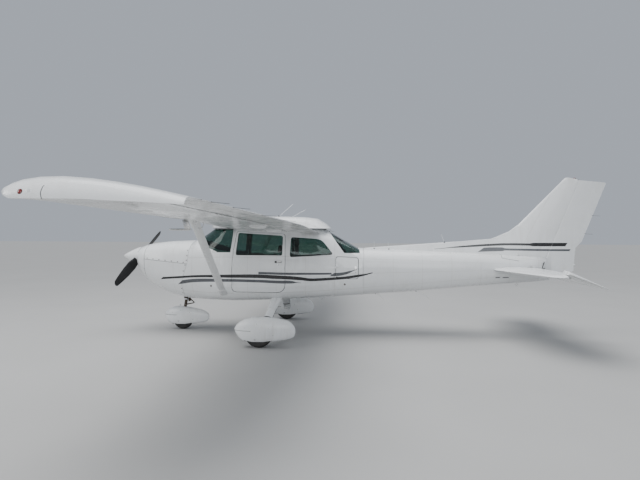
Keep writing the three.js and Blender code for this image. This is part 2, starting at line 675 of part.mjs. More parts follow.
const root = { ...WING_RIBS[0], s: 0 };
const on = (t, level, d = 0) => [root.le + t * root.chord, skinZ(root, t, level) + d];
const FLAP_BAY = [
  on(0.693, -1, -60),
  on(0.693, 0, 0),
  on(0.715, 1, -22),
  on(0.735, 1, -10),
  on(0.775, 1, -6),
  on(0.775, 1, 60),
  [root.le + root.chord + 60, 2000],
  [root.le + root.chord + 60, 1600],
];
const FLAP_SECTION = [
  on(0.702, -1, 26),
  on(0.706, -1, 52),
  on(0.722, 1, -36),
  on(0.745, 1, -20),
  on(0.778, 1, -13),
  on(0.81, 1, -3),
  on(0.85, 1),
  on(0.92, 1),
  on(1, 1, 1.5),
  on(1, -1, -1.5),
  on(0.92, -1),
  on(0.82, -1),
  on(0.74, -1),
  on(0.715, -1, 5),
];
// A point on the root section, by its x and its height over the chord line.
const over = (x, d) => [x, WING.tailZ + (root.le + root.chord - x) * Math.tan(root.twist * RAD) + d];
const FLAP_TRACK = { at: [420, 1500], thick: 8, reach: 1951 };
const TRACK_SECTION = [
  over(1767, -24),
  over(FLAP_TRACK.reach, -17),
  over(FLAP_TRACK.reach + 5, -1),
  over(FLAP_TRACK.reach, 14),
  over(1767, 30),
];
const TRACK_SLOT = [
  over(1727, -121),
  over(1969, -115),
  over(1969, 25),
  over(1887, 46),
  over(1827, 86),
  over(1727, 84),
];
const FLAP_PIVOT = { x: root.le + 0.7 * root.chord, z: skinZ(root, 0.7, -1) - FLAP.pivotDrop };

// Turns a point (x, z) about a pivot, trailing edge down for a positive angle.
function droop([x, z], pivot, degrees) {
  const [c, s] = [Math.cos(degrees * RAD), Math.sin(degrees * RAD)];
  const [dx, dz] = [x - pivot.x, z - pivot.z];
  return [pivot.x + dx * c + dz * s, pivot.z - dx * s + dz * c];
}

function aileronHinge(s) {
  const t = (s - AILERON.s0) / (AILERON.s1 - AILERON.s0);
  const rib = between(WING_RIBS, "s", s);
  const x = lerp(AILERON.x0, AILERON.x1, t);
  const share = (x - rib.le) / rib.chord;
  const half = (skinZ(rib, share, 1) - skinZ(rib, share, -1)) / 2;
  return { x, y: WING.rootY + s * COS, z: skinZ(rib, share, 0), half };
}

function aileronNose(side, grow, s0, s1) {
  const [a, b] = [aileronHinge(s0), aileronHinge(s1)];
  return bar([a.x, side * a.y, a.z], [b.x, side * b.y, b.z], a.half - 0.8 + grow, b.half - 0.8 + grow, 20);
}

// Plan area behind the aileron hinge line, moved ahead by the given distance.
function aileronArea(side, ahead, s0, s1) {
  const [a, b] = [aileronHinge(s0), aileronHinge(s1)];
  const points = [
    [a.x - ahead, side * a.y],
    [2600, side * a.y],
    [2600, side * b.y],
    [b.x - ahead, side * b.y],
  ];
  return planPrism(points, 1600, 2300);
}

const cabinRoom = cabinTop(1570, CABIN.roof + 1, -TOUCH);
for (const [name, side] of [
  ["left", -1],
  ["right", 1],
]) {
  const whole = loft(WING_RIBS.map((rib) => wingRing(rib, side)));
  const bay = spanPrism(FLAP_BAY, side, FLAP.s0 - 8, (FLAP.s1 + AILERON.s0) / 2);
  const [a0, a1] = [(FLAP.s1 + AILERON.s0) / 2 - 6, AILERON.s1 + GAP];
  let wing = whole
    .subtract(bay)
    .subtract(aileronArea(side, 16, a0, a1))
    .subtract(aileronNose(side, GAP, a0, a1))
    .subtract(box(0, 3000, 0, side * (WING.rootY + TOUCH), CABIN.roof, 2300))
    .subtract(cabinRoom);
  let flap = spanPrism(FLAP_SECTION.map((p) => droop(p, FLAP_PIVOT, FLAP.rest)), side, FLAP.s0, FLAP.s1);
  const slot = TRACK_SLOT.map((p) => droop(p, FLAP_PIVOT, FLAP.rest));
  for (const at of FLAP_TRACK.at) {
    wing = wing.add(spanPrism(TRACK_SECTION, side, at, at + FLAP_TRACK.thick));
    flap = flap.subtract(spanPrism(slot, side, at - TOUCH, at + FLAP_TRACK.thick + TOUCH));
  }
  const [pin0, pin1] = [aileronHinge(AILERON.s1 + TOUCH), aileronHinge(AILERON.s1 + GAP + 2)];
  wing = wing.add(bar([pin0.x, side * pin0.y, pin0.z], [pin1.x, side * pin1.y, pin1.z], 10));
  node(`wing_${name}`, wing, "white");
  node(`wing_tip_${name}`, loft(TIP_RIBS.map((rib) => wingRing(rib, side))), "white");
  node(`flap_${name}`, flap, "white");
  const aileron = whole
    .intersect(aileronArea(side, 0, AILERON.s0, AILERON.s1))
    .add(aileronNose(side, 0, AILERON.s0, AILERON.s1));
  node(`aileron_${name}`, aileron, "white");
  const foot = [STRUT.foot[0], side * (STRUT.foot[1] - 60), STRUT.foot[2] - 33];
  const head = [STRUT.head[0], side * STRUT.head[1], STRUT.head[2] + 20];
  const strut = streamlined(foot, head, STRUT.chord, STRUT.thick)
    .subtract(whole)
    .subtract(whole.translate([0, 0, -TOUCH - 0.1]))
    .subtract(skinHull);
  node(`strut_${name}`, strut, "white");
}

// A streamlined bar: chord along X, thickness across.
function streamlined(from, to, chord, thick, chord2 = chord, thick2 = thick) {
  const [a, b] = [new THREE.Vector3(...from), new THREE.Vector3(...to)];
  const across = b.clone().sub(a).normalize().cross(new THREE.Vector3(1, 0, 0)).normalize();
  const half = [
    [0, 0],
    [0.04, 0.27],
    [0.14, 0.43],
    [0.34, 0.5],
    [0.6, 0.39],
    [0.84, 0.17],
    [1, 0.03],
  ];
  const outline = [...half, ...half.slice(1).reverse().map(([t, h]) => [t, -h])];
  const ring = (p, c, w) =>
    outline.map(([t, h]) => {
      const q = p.clone().addScaledVector(across, h * w);
      return [q.x + (t - 0.45) * c, q.y, q.z];
    });
  return loft([ring(a, chord, thick), ring(b, chord2, thick2)]);
}

// Tail
const half0012 = (t) => 5 * (0.2969 * Math.sqrt(t) - 0.126 * t - 0.3516 * t ** 2 + 0.2843 * t ** 3 - 0.1036 * t ** 4);
const TAIL_SHARES = [0, 0.02, 0.07, 0.18, 0.34, 0.52, 0.75, 1];

function tailHalf(rib, x) {
  return half0012(Math.min(1, Math.max(0, (x - rib.le) / (rib.te - rib.le)))) * rib.t;
}

// The tailplane's outer shape with the elevators level, its skin moved out by grow.
function tailSolid(grow = 0) {
  const ribs = [...TAIL_RIBS.slice(1).reverse().map((r) => ({ ...r, y: -r.y })), ...TAIL_RIBS];
  return loft(
    ribs.map((r) => {
      const rib = { ...r, le: r.le - grow, te: r.te + grow, t: r.t + 2 * grow };
      const at = (t, k) => {
        const h = half0012(t) * rib.t + 1.2 * (t === 1) + grow * (t > 0);
        return [lerp(rib.le, rib.te, t), rib.y, TAILPLANE.z + k * h];
      };
      return [...TAIL_SHARES.map((t) => at(t, 1)), ...TAIL_SHARES.slice(1).reverse().map((t) => at(t, -1))];
    }),
  );
}
const ELEVATOR = {
  rest: 22.5,
  inner: [
    [TAILPLANE.hinge, 150],
    [5900, 156],
    [6320, 262],
  ],
};

function elevatorArea(side, d) {
  const { hinge, hornY, horn, halfSpan } = TAILPLANE;
  const front = hinge - (d ? 12 : 0);
  const points = [
    [front, d ? 0 : ELEVATOR.inner[0][1]],
    ...(d ? [[6400, 0]] : ELEVATOR.inner.slice(1)),
    [6400, halfSpan + 40],
    [hinge - horn - d, halfSpan + 40],
    [hinge - horn - d, hornY - d],
    [front, hornY - d],
  ];
  return planPrism(points.map(([x, y]) => [x, side * y]), 900, 1400);
}
const hingeHalf = (y) => tailHalf(between(TAIL_RIBS, "y", Math.abs(y)), TAILPLANE.hinge) - 0.6;

function elevatorNose(side, grow, y0, y1) {
  const { hinge, z } = TAILPLANE;
  return bar([hinge, side * y0, z], [hinge, side * y1, z], hingeHalf(y0) + grow, hingeHalf(y1) + grow, 20);
}
const TAB = { x: 6150, y0: 330, y1: 1130, r: 10 };
const tabCut = box(TAB.x - 4, 6400, TAB.y0 - 6, TAB.y1 + 6, 1000, 1300).add(
  bar([TAB.x, TAB.y0 - 6, TAILPLANE.z], [TAB.x, TAB.y1 + 6, TAILPLANE.z], TAB.r + 5.5, TAB.r + 5.5, 14),
);
const level = tailSolid();
let stabilizer = level.subtract(box(5797, 5850, -150, 150, 1000, 1300));
let elevator = bar([TAILPLANE.hinge, -170, TAILPLANE.z], [TAILPLANE.hinge, 170, TAILPLANE.z], TORQUE_TUBE_R);
for (const side of [-1, 1]) {
  stabilizer = stabilizer
    .subtract(elevatorArea(side, GAP + 2))
    .subtract(elevatorNose(side, GAP, -5, TAILPLANE.hornY));
  const half = level.intersect(elevatorArea(side, 0)).add(elevatorNose(side, 0, 150, TAILPLANE.hornY + 20));
  elevator = elevator.add(half);
}
const tab = level
  .intersect(box(TAB.x, 6400, TAB.y0, TAB.y1, 1000, 1300))
  .add(bar([TAB.x, TAB.y0, TAILPLANE.z], [TAB.x, TAB.y1, TAILPLANE.z], TAB.r, TAB.r, 14));
const lowered = (s) =>
  s
    .translate([-TAILPLANE.hinge, 0, -TAILPLANE.z])
    .rotate([0, ELEVATOR.rest, 0])
    .translate([TAILPLANE.hinge, 0, TAILPLANE.z]);
node("stabilizer", stabilizer, "white");
elevator = elevator.subtract(tabCut);
for (const [from, to] of [
  [TAB.y0 - 8, TAB.y0 - TOUCH],
  [TAB.y1 + TOUCH, TAB.y1 + 8],
]) {
  elevator = elevator.add(bar([TAB.x, from, TAILPLANE.z], [TAB.x, to, TAILPLANE.z], 6, 6, 10));
}
node("elevator", lowered(elevator), "white");
node("trim_tab", lowered(tab), "white");

// Fin, dorsal and rudder: z, leading edge, trailing edge, thickness of the whole
const FIN_LEVELS = [
  { z: 1060, le: 4990, te: 6460, t: 104 },
  { z: 1480, le: 5204, te: 6490, t: 104 },
  { z: 1593, le: 5312, te: 6590, t: 100 },
  { z: 2545, le: 6224, te: 6967, t: 66 },
  { z: 2680, le: 6353, te: 7010, t: 58 },
];
const hingeX = (z) => HINGE.x + HINGE.slope * (z - HINGE.z);
const FIN_TOP = [
  [6282, 2606],
  [6310, 2634],
  [6350, 2644],
  [6540, 2600],
];
const RUDDER = { low: 1092, high: 2600, topEdge: [6955, 2546], te: [[6584, 1593], [6482, 1482], [6456, 1110], [6430, 1092]] };
const upright = loft(
  FIN_LEVELS.map((r) => {
    const at = (t, k) => [lerp(r.le, r.te, t), k * (half0012(t) * r.t + 1.2 * (t === 1)), r.z];
    return [...TAIL_SHARES.map((t) => at(t, 1)), ...TAIL_SHARES.slice(1).reverse().map((t) => at(t, -1))];
  }),
);
const rudderHalf = (z) => tailHalf(between(FIN_LEVELS, "z", z), hingeX(z)) - 0.6;

function rudderNose(grow, z0, z1) {
  return bar([hingeX(z0), 0, z0], [hingeX(z1), 0, z1], rudderHalf(z0) + grow, rudderHalf(z1) + grow, 20);
}
const rudderOutline = [
  [hingeX(RUDDER.low), RUDDER.low],
  ...RUDDER.te.slice().reverse(),
  RUDDER.topEdge,
  [6930, 2560],
  [hingeX(RUDDER.high), RUDDER.high - 4],
];
const rudderSlot = sidePrism(
  [
    [hingeX(1000) - 12, 1000],
    [7200, 1000],
    [7200, 2700],
    [hingeX(2700) - 12, 2700],
  ],
  -WIDE,
  WIDE,
)
  .add(rudderNose(GAP, 1010, 2690))
  .intersect(box(5000, 7300, -WIDE, WIDE, RUDDER.low - 9, 2800));
const rudderBlock = sidePrism(rudderOutline, -WIDE, WIDE);
const nose = rudderNose(0, RUDDER.low - 60, RUDDER.high + 60).intersect(
  sidePrism(
    [
      [5700, RUDDER.low],
      [7000, RUDDER.low],
      [7000, 2540],
      [hingeX(RUDDER.high), RUDDER.high - 4],
      [6000, RUDDER.high + 60],
    ],
    -WIDE,
    WIDE,
  ),
);
node("rudder", upright.intersect(rudderBlock).add(nose), "white");

// x, ridge height and half thickness of the dorsal strake
const DORSAL = [
  { x: 3030, top: 1462, half: 12 },
  { x: 3700, top: 1512, half: 14 },
  { x: 4131, top: 1545, half: 17 },
  { x: 4628, top: 1582, half: 20 },
  { x: 5133, top: 1627, half: 26 },
  { x: 5230, top: 1664, half: 28 },
  { x: 5428, top: 1755, half: 34 },
  { x: 5560, top: 1860, half: 38 },
];
const dorsal = loft(
  DORSAL.map(({ x, top, half }) => [
    [x, 0, top],
    [x, half * 0.6, top - 12],
    [x, half + 10, 1400],
    [x, half + 40, 1290],
    [x, -half - 40, 1290],
    [x, -half - 10, 1400],
    [x, -half * 0.6, top - 12],
  ]),
);
const finOutline = sidePrism([[4990, 1250], [6400, 1250], [7000, 2700], ...FIN_TOP.slice().reverse(), [5428, 1712]], -WIDE, WIDE);
const finTopCut = sidePrism([[5900, 2900], [5900, 2240], ...FIN_TOP, [7100, 2440], [7100, 2900]], -WIDE, WIDE);
const tailSkin = hull(2950, 6060, -TOUCH);
node(
  "fin",
  upright
    .subtract(box(4000, 7200, -WIDE, WIDE, 900, 1280))
    .subtract(finTopCut)
    .add(dorsal)
    .subtract(rudderSlot)
    .subtract(tailSkin)
    .subtract(tailSkin.translate([0, 0, -30])),
  "white",
);

// Tail cone, open in front, with room for the tailplane and the torque tube
const tailCone = hull(CABIN.joint + TOUCH, 6060)
  .subtract(hull(CABIN.joint - 5, 5640, TAIL_WALL, INNER_RING))
  .subtract(tailSolid(TOUCH).intersect(box(4900, 5798, -WIDE, WIDE, 900, 1400)))
  .subtract(bar([TAILPLANE.hinge, -300, TAILPLANE.z], [TAILPLANE.hinge, 300, TAILPLANE.z], TORQUE_TUBE_R + 0.9))
  .subtract(rudderSlot)
  .add(bar([hingeX(1070), 0, 1070], [hingeX(RUDDER.low - TOUCH - 4), 0, RUDDER.low - TOUCH - 4], 10));
node("tail_cone", tailCone, "white");

// Landing gear
// x, half width, lowest and highest of a wheel pant, from its nose back
const MAIN_PANT = [
  { x: 1112, w: 12, low: 250, high: 280 },
  { x: 1142, w: 48, low: 196, high: 330 },
  { x: 1190, w: 80, low: 134, high: 374 },
  { x: 1268, w: 105, low: 86, high: 416 },
  { x: 1390, w: 120, low: 68, high: 447 },
  { x: 1560, w: 121, low: 71, high: 455 },
  { x: 1740, w: 104, low: 94, high: 440 },
  { x: 1900, w: 70, low: 124, high: 410 },
  { x: 1965, w: 46, low: 142, high: 372 },
  { x: 2006, w: 22, low: 172, high: 320 },
  { x: 2022, w: 9, low: 222, high: 280 },
];
const NOSE_PANT = [
  { x: -508, w: 12, low: 232, high: 264 },
  { x: -478, w: 44, low: 178, high: 312 },
  { x: -430, w: 72, low: 122, high: 350 },
  { x: -360, w: 96, low: 84, high: 384 },
  { x: -250, w: 106, low: 70, high: 406 },
  { x: -120, w: 106, low: 73, high: 400 },
  { x: 30, w: 88, low: 92, high: 374 },
  { x: 170, w: 60, low: 116, high: 344 },
  { x: 240, w: 38, low: 134, high: 314 },
  { x: 282, w: 18, low: 166, high: 280 },
  { x: 298, w: 8, low: 206, high: 250 },
];
const PANT_WALL = 7;
const PANT_POWER = { low: 3.2, high: 2.4 }; // how square the section is below and above its middle

function pantSolid(rows, y, inset = 0) {
  const n = inset > 0 ? 12 : 16;
  const used = inset > 0 ? rows.slice(1, -2) : rows;
  return loft(
    used.map(({ x, w, low, high }) => {
      const [mid, tall] = [(low + high) / 2, (high - low) / 2];
      return Array.from({ length: n }, (_, k) => {
        const a = (2 * Math.PI * k) / n;
        const round = (v) => Math.sign(v) * Math.abs(v) ** (2 / (a > Math.PI ? PANT_POWER.low : PANT_POWER.high));
        return [x, y + (w - inset) * round(Math.cos(a)), mid + (tall - inset) * round(Math.sin(a))];
      });
    }),
  );
}

// Tyre and rim about a cross axis
function wheel(name, { x, r, width, rim }, y, sides) {
  const h = width / 2;
  const tyreProfile = [
    [-h * 0.72, rim + TOUCH],
    [-h, rim + (r - rim) * 0.45],
    [-h * 0.94, rim + (r - rim) * 0.75],
    [-h * 0.66, r - 7],
    [-h * 0.3, r],
    [h * 0.3, r],
    [h * 0.66, r - 7],
    [h * 0.94, rim + (r - rim) * 0.75],
    [h, rim + (r - rim) * 0.45],
    [h * 0.72, rim + TOUCH],
  ];
  const rimProfile = [
    [-h * 0.72, AXLE_R + 1],
    [-h * 0.72, rim],
    [h * 0.72, rim],
    [h * 0.72, AXLE_R + 1],
  ];
  node(`tyre${name}`, turned(tyreProfile, [x, y, r], "y", sides), "tyre");
  node(`rim${name}`, turned(rimProfile, [x, y, r], "y", sides), "metal");
}
const AXLE_R = 16;
for (const [name, side] of [
  ["left", -1],
  ["right", 1],
]) {
  const y = side * MAIN.y;
  const inner = pantSolid(MAIN_PANT, y, PANT_WALL);
  const well = box(MAIN.x - 206, MAIN.x + 206, y - 85, y + 85, 40, 240);
  const wall = MAIN.y - 121;
  const pant = pantSolid(MAIN_PANT, y)
    .subtract(inner)
    .subtract(well)
    .subtract(bar([MAIN.x, side * (wall - 30), MAIN.r], [MAIN.x, side * (wall + 60), MAIN.r], AXLE_R + 2 * TOUCH, AXLE_R + 2 * TOUCH, 16));
  node(`pant_${name}`, pant, "white");
  const top = [1584, side * 330, 655];
  const ankle = [MAIN.x + 14, side * (wall + 4), MAIN.r + 10];
  const hub = (from, to, r) => bar([MAIN.x, side * from, MAIN.r], [MAIN.x, side * to, MAIN.r], r, r, 16);
  const leg = streamlined(top, ankle, 150, 52, 116, 44)
    .add(hub(wall - 34, wall + 10, 40))
    .subtract(skinHull)
    .subtract(pantSolid(MAIN_PANT, y, -TOUCH))
    .add(hub(wall - 20, MAIN.y, AXLE_R))
    .add(hub(MAIN.y - 1, MAIN.y + 140, AXLE_R).intersect(pantSolid(MAIN_PANT, y, PANT_WALL + TOUCH)));
  node(`gear_leg_${name}`, leg, "white");
  wheel(`_${name}`, MAIN, y, 20);
}
const RAKE = Math.tan(NOSE.rake * RAD);
const steerX = (z) => NOSE.x + RAKE * (z - NOSE.r);
const STRUT_LOW = 520;
let noseStrut = bar([steerX(STRUT_LOW), 0, STRUT_LOW], [steerX(960), 0, 960], 33, 33, 20);
for (const z of [600, 930]) {
  noseStrut = noseStrut.add(box(steerX(z) - 10, 150, -38, 38, z - 24, z + 24));
}
node("nose_strut", noseStrut.intersect(aheadOfFirewall), "metal");
const TOP = 2 * NOSE.r; // top of the nose tyre
const LEG_Y = NOSE.width / 2 + 7;
const FORK_ARCH = [
  [LEG_Y + 14, TOP - 44],
  [LEG_Y + 11, TOP - 9],
  [40, TOP + 34],
  [-40, TOP + 34],
  [-LEG_Y - 11, TOP - 9],
  [-LEG_Y - 14, TOP - 44],
  [-LEG_Y, TOP - 44],
  [-LEG_Y + 3, TOP - 22],
  [-34, TOP + 8],
  [34, TOP + 8],
  [LEG_Y - 3, TOP - 22],
  [LEG_Y, TOP - 44],
];
const archX = steerX(TOP);
const arch = solid(
  new THREE.ExtrudeGeometry(shapeOf(FORK_ARCH), { depth: 60, bevelEnabled: false })
    .rotateX(90 * RAD)
    .rotateZ(90 * RAD)
    .translate(archX - 30, 0, 0),
);
const noseInner = pantSolid(NOSE_PANT, 0, PANT_WALL + TOUCH);
let fork = arch
  .intersect(noseInner)
  .add(bar([steerX(TOP + 12), 0, TOP + 12], [steerX(STRUT_LOW) - 0.05, 0, STRUT_LOW - TOUCH], 25, 25, 16))
  .add(bar([NOSE.x, -130, NOSE.r], [NOSE.x, 130, NOSE.r], AXLE_R).intersect(noseInner));
for (const side of [-1, 1]) {
  const [y0, y1] = [side * LEG_Y, side * (LEG_Y + 14)];
  fork = fork.add(
    sidePrism(
      [
        [NOSE.x - 26, NOSE.r - 26],
        [NOSE.x + 26, NOSE.r - 26],
        [archX + 28, TOP - 43],
        [archX - 28, TOP - 43],
      ],
      Math.min(y0, y1),
      Math.max(y0, y1),
    ).intersect(noseInner),
  );
}
const COLLAR = { low: 545, high: 567 };
const knee = [28, 0, 464];
fork = fork
  .add(bar([steerX(430), 0, 430], knee, 13, 9, 10))
  .add(bar(knee, [steerX(556) + 42, 0, 556], 9, 11, 10))
  .add(
    bar([steerX(COLLAR.low), 0, COLLAR.low], [steerX(COLLAR.high), 0, COLLAR.high], 46, 46, 20).subtract(
      bar([steerX(500), 0, 500], [steerX(650), 0, 650], 34.5, 34.5, 20),
    ),
  );
node("nose_fork", fork, "steel");
const nosePant = pantSolid(NOSE_PANT, 0)
  .subtract(pantSolid(NOSE_PANT, 0, PANT_WALL))
  .subtract(box(NOSE.x - 173, NOSE.x + 173, -76, 76, 40, 200))
  .subtract(bar([steerX(330), 0, 330], [steerX(460), 0, 460], 34, 34, 20));
node("nose_pant", nosePant, "white");
wheel("_nose", NOSE, 0, 20);

// Origin to the floor under the middle
aircraft.traverse((o) => {
  if (o.isMesh) o.geometry.translate(-(SPINNER_TIP_X + TAIL_END_X) / 2, 0, 0);
});

export default aircraft;
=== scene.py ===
# %% [markdown]
# # A four-seat, high-wing light aircraft
# The aircraft arrives as plain solids that already fit each other and already move. This lesson dresses
# them: it sets a camera and a studio, mixes the finishes, lays smooth skins over the solids, and then
# models the small things that make a parked aircraft look real, from cowl fasteners to seat belts.

import json
import math

import bpy
from mathutils import Matrix, Vector

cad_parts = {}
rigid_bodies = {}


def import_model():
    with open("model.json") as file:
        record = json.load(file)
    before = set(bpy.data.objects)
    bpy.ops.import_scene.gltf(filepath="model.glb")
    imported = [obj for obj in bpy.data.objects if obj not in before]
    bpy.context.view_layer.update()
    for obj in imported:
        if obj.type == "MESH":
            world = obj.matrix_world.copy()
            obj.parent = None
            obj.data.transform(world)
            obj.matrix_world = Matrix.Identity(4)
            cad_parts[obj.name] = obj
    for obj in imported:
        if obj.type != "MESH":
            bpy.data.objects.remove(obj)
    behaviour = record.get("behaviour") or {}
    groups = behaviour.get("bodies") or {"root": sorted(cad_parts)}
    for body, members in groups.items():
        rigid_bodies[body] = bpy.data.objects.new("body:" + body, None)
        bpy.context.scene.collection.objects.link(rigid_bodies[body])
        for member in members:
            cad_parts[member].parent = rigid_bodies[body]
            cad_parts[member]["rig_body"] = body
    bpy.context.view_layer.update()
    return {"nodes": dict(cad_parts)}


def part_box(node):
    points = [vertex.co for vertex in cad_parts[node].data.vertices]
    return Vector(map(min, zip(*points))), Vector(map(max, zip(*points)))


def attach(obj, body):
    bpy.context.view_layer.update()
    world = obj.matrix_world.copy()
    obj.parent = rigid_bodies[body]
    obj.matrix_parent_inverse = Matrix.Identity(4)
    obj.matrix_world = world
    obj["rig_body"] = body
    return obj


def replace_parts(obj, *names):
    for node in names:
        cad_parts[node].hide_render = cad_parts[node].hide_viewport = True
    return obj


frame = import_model()
solids = frame["nodes"]
FIREWALL = -2.8345

# %% [markdown]
# Builders of aircraft measure lengthwise from the firewall, the sheet between engine and cabin. The
# model's own origin is on the floor under its middle, so one short helper turns a station, a side distance
# and a height into a place in the scene. Places could be typed in the scene's own numbers, but then no
# drawing would match them.


# %% Stations
def at(station, side, height):
    return Vector((station + FIREWALL, side, height))


print("the model's middle is at station", round(-FIREWALL, 4))

# %% [markdown]
# The photograph was taken from just ahead of the tail of the left wing, at eye height, with a wide lens
# held almost level. The camera repeats that: its place, its small turn to the left and its slight lean
# were solved from points whose real places are known. It could be placed by eye, but then no measure taken
# from the picture would hold.

# %% Camera
camera_data = bpy.data.cameras.new("camera")
camera = bpy.data.objects.new("camera", camera_data)
bpy.context.scene.collection.objects.link(camera)
bpy.context.scene.camera = camera
camera_data.sensor_width = 36
camera_data.lens = 26.387
camera_data.clip_end = 200
turn, tip, lean = math.radians(-5.39), math.radians(-0.10), math.radians(0.34)
ahead = Vector((math.sin(turn) * math.cos(tip), math.cos(turn) * math.cos(tip), math.sin(tip)))
level = Vector((math.cos(turn), -math.sin(turn), 0))
upward = level.cross(ahead)
right = math.cos(lean) * level + math.sin(lean) * upward
upright = math.cos(lean) * upward - math.sin(lean) * level
facing = Matrix((right, upright, -ahead)).transposed().to_4x4()
camera.matrix_world = Matrix.Translation(at(3.022, -8.088, 1.604)) @ facing
print("camera at", tuple(camera.location))

# %% [markdown]
# Nodes are quicker to read when each is made in one line. `add` makes a node and fills its inputs, either
# with plain values or with the output of another node, and `calc` does the same for one step of sums.


# %% Node helpers
def add(tree, kind, inputs=None, **settings):
    node = tree.nodes.new(kind)
    for key, value in settings.items():
        setattr(node, key, value)
    for key, value in (inputs or {}).items():
        if isinstance(value, bpy.types.NodeSocket):
            tree.links.new(value, node.inputs[key])
        else:
            node.inputs[key].default_value = value
    return node


def calc(tree, operation, *values):
    node = add(tree, "ShaderNodeMath", dict(enumerate(values)), operation=operation)
    return node.outputs[0]


def noise_of(tree, vector, scale, detail):
    return add(tree, "ShaderNodeTexNoise", {"Vector": vector, "Scale": scale, "Detail": detail}).outputs[0]


def ramp(tree, value, low, high, start=0.0, end=1.0):
    inputs = {0: value, 1: low, 2: high, 3: start, 4: end}
    return add(tree, "ShaderNodeMapRange", inputs).outputs[0]


def blend_colour(tree, amount, first, second):
    node = add(tree, "ShaderNodeMix", {0: amount, 6: first, 7: second}, data_type="RGBA")
    return node.outputs[2]


print("node helpers ready")

# %% [markdown]
# A node group is one recipe used in many materials. `start_group` opens one with a place and some numbers
# going in, `place_group` puts it into a material, and `start_material` opens a material that knows where
# each of its points is. Images could carry the same patterns, but they need unfolded meshes and stay
# blurred close up, while a formula is sharp at every distance.


# %% Groups and materials
def start_group(name, numbers, outputs):
    group = bpy.data.node_groups.new(name, "ShaderNodeTree")
    group.interface.new_socket("Vector", in_out="INPUT", socket_type="NodeSocketVector")
    for label, value in numbers.items():
        socket = group.interface.new_socket(label, in_out="INPUT", socket_type="NodeSocketFloat")
        socket.default_value = value
    for label in outputs:
        group.interface.new_socket(label, in_out="OUTPUT", socket_type="NodeSocketFloat")
    return group, group.nodes.new("NodeGroupInput").outputs, group.nodes.new("NodeGroupOutput").inputs


def place_group(tree, group, inputs):
    return add(tree, "ShaderNodeGroup", inputs, node_tree=group).outputs


def start_material(name, roughness, **plain):
    material = bpy.data.materials.new(name)
    material.use_nodes = True
    shader = material.node_tree.nodes["Principled BSDF"]
    shader.inputs["Roughness"].default_value = roughness
    for key, value in plain.items():
        shader.inputs[key.replace("_", " ")].default_value = value
    place = add(material.node_tree, "ShaderNodeTexCoord").outputs["Object"]
    return material, material.node_tree, shader.inputs, place


def raise_bump(tree, height, distance, shader, strength=1.0):
    inputs = {"Height": height, "Distance": distance, "Strength": strength}
    tree.links.new(add(tree, "ShaderNodeBump", inputs).outputs[0], shader["Normal"])


print("ready to build groups and materials")

# %% [markdown]
# A pale floor and a soft overcast light come next. The floor is a light grey with faint clouding, like a
# swept studio floor, so that white paint still stands out against it. A wide, weak sun gives the soft
# shadow under the wings, and it is kept out of reflections, because its glint would speckle the glass.
# Three large lamps fill in from above, from the side and from ahead. A sky picture could light the scene
# too, but plain lamps leave no foreign shapes on the gloss.

# %% Floor and light
bpy.ops.mesh.primitive_plane_add(size=400)
floor = bpy.context.object
floor.name = "studio_floor"
finish, tree, shader, place = start_material("studio_floor", 0.8)
cloud = noise_of(tree, place, 0.6, 4.0)
floor_colour = blend_colour(tree, cloud, (0.37, 0.37, 0.365, 1), (0.42, 0.42, 0.415, 1))
tree.links.new(floor_colour, shader["Base Color"])
floor.data.materials.append(finish)

world = bpy.data.worlds.new("soft_sky")
bpy.context.scene.world = world
world.use_nodes = True
world.node_tree.nodes["Background"].inputs[0].default_value = (0.78, 0.85, 0.96, 1)
world.node_tree.nodes["Background"].inputs[1].default_value = 0.54


def softbox(name, spot, aim, width, height, power, colour):
    data = bpy.data.lights.new(name, "AREA")
    data.shape = "RECTANGLE"
    data.size, data.size_y, data.energy, data.color = width, height, power, colour
    lamp = bpy.data.objects.new(name, data)
    bpy.context.scene.collection.objects.link(lamp)
    lamp.location = spot
    lamp.rotation_euler = (Vector(aim) - Vector(spot)).to_track_quat("-Z", "Y").to_euler()


daylight = bpy.data.lights.new("daylight", "SUN")
daylight.energy, daylight.angle, daylight.color = 2.6, math.radians(50), (1.0, 0.985, 0.965)
sun = bpy.data.objects.new("daylight", daylight)
bpy.context.scene.collection.objects.link(sun)
sun.rotation_euler = Vector((-0.32, -0.10, 1.0)).to_track_quat("Z", "Y").to_euler()
sun.visible_glossy = sun.visible_transmission = False
softbox("overhead_light", (-1.0, 0.5, 9.0), (0, 0, 0.5), 13, 7, 500, (0.97, 0.985, 1.0))
softbox("side_light", (2.0, -16.0, 4.5), (0, 0, 1.0), 14, 6, 550, (0.98, 0.99, 1.0))
softbox("nose_light", (-11.0, -7.0, 5.5), (-1, 0, 1.0), 7, 4, 300, (1.0, 0.98, 0.95))
print("floor, sun and three soft lights")

# %% [markdown]
# White paint on an aircraft is never quite even. Thin sheet shows rows of flush rivets, its laps are
# hairline grooves, rain leaves faint runs, and the skin between the frames is slightly wavy. Each of these
# is a node group that works out a number from where a point is, so it is built once and placed in every
# paint. A row is described by how far a point is across it and along it. Rivets could be modelled one by
# one, but there are many thousands of them, and none changes the outline.

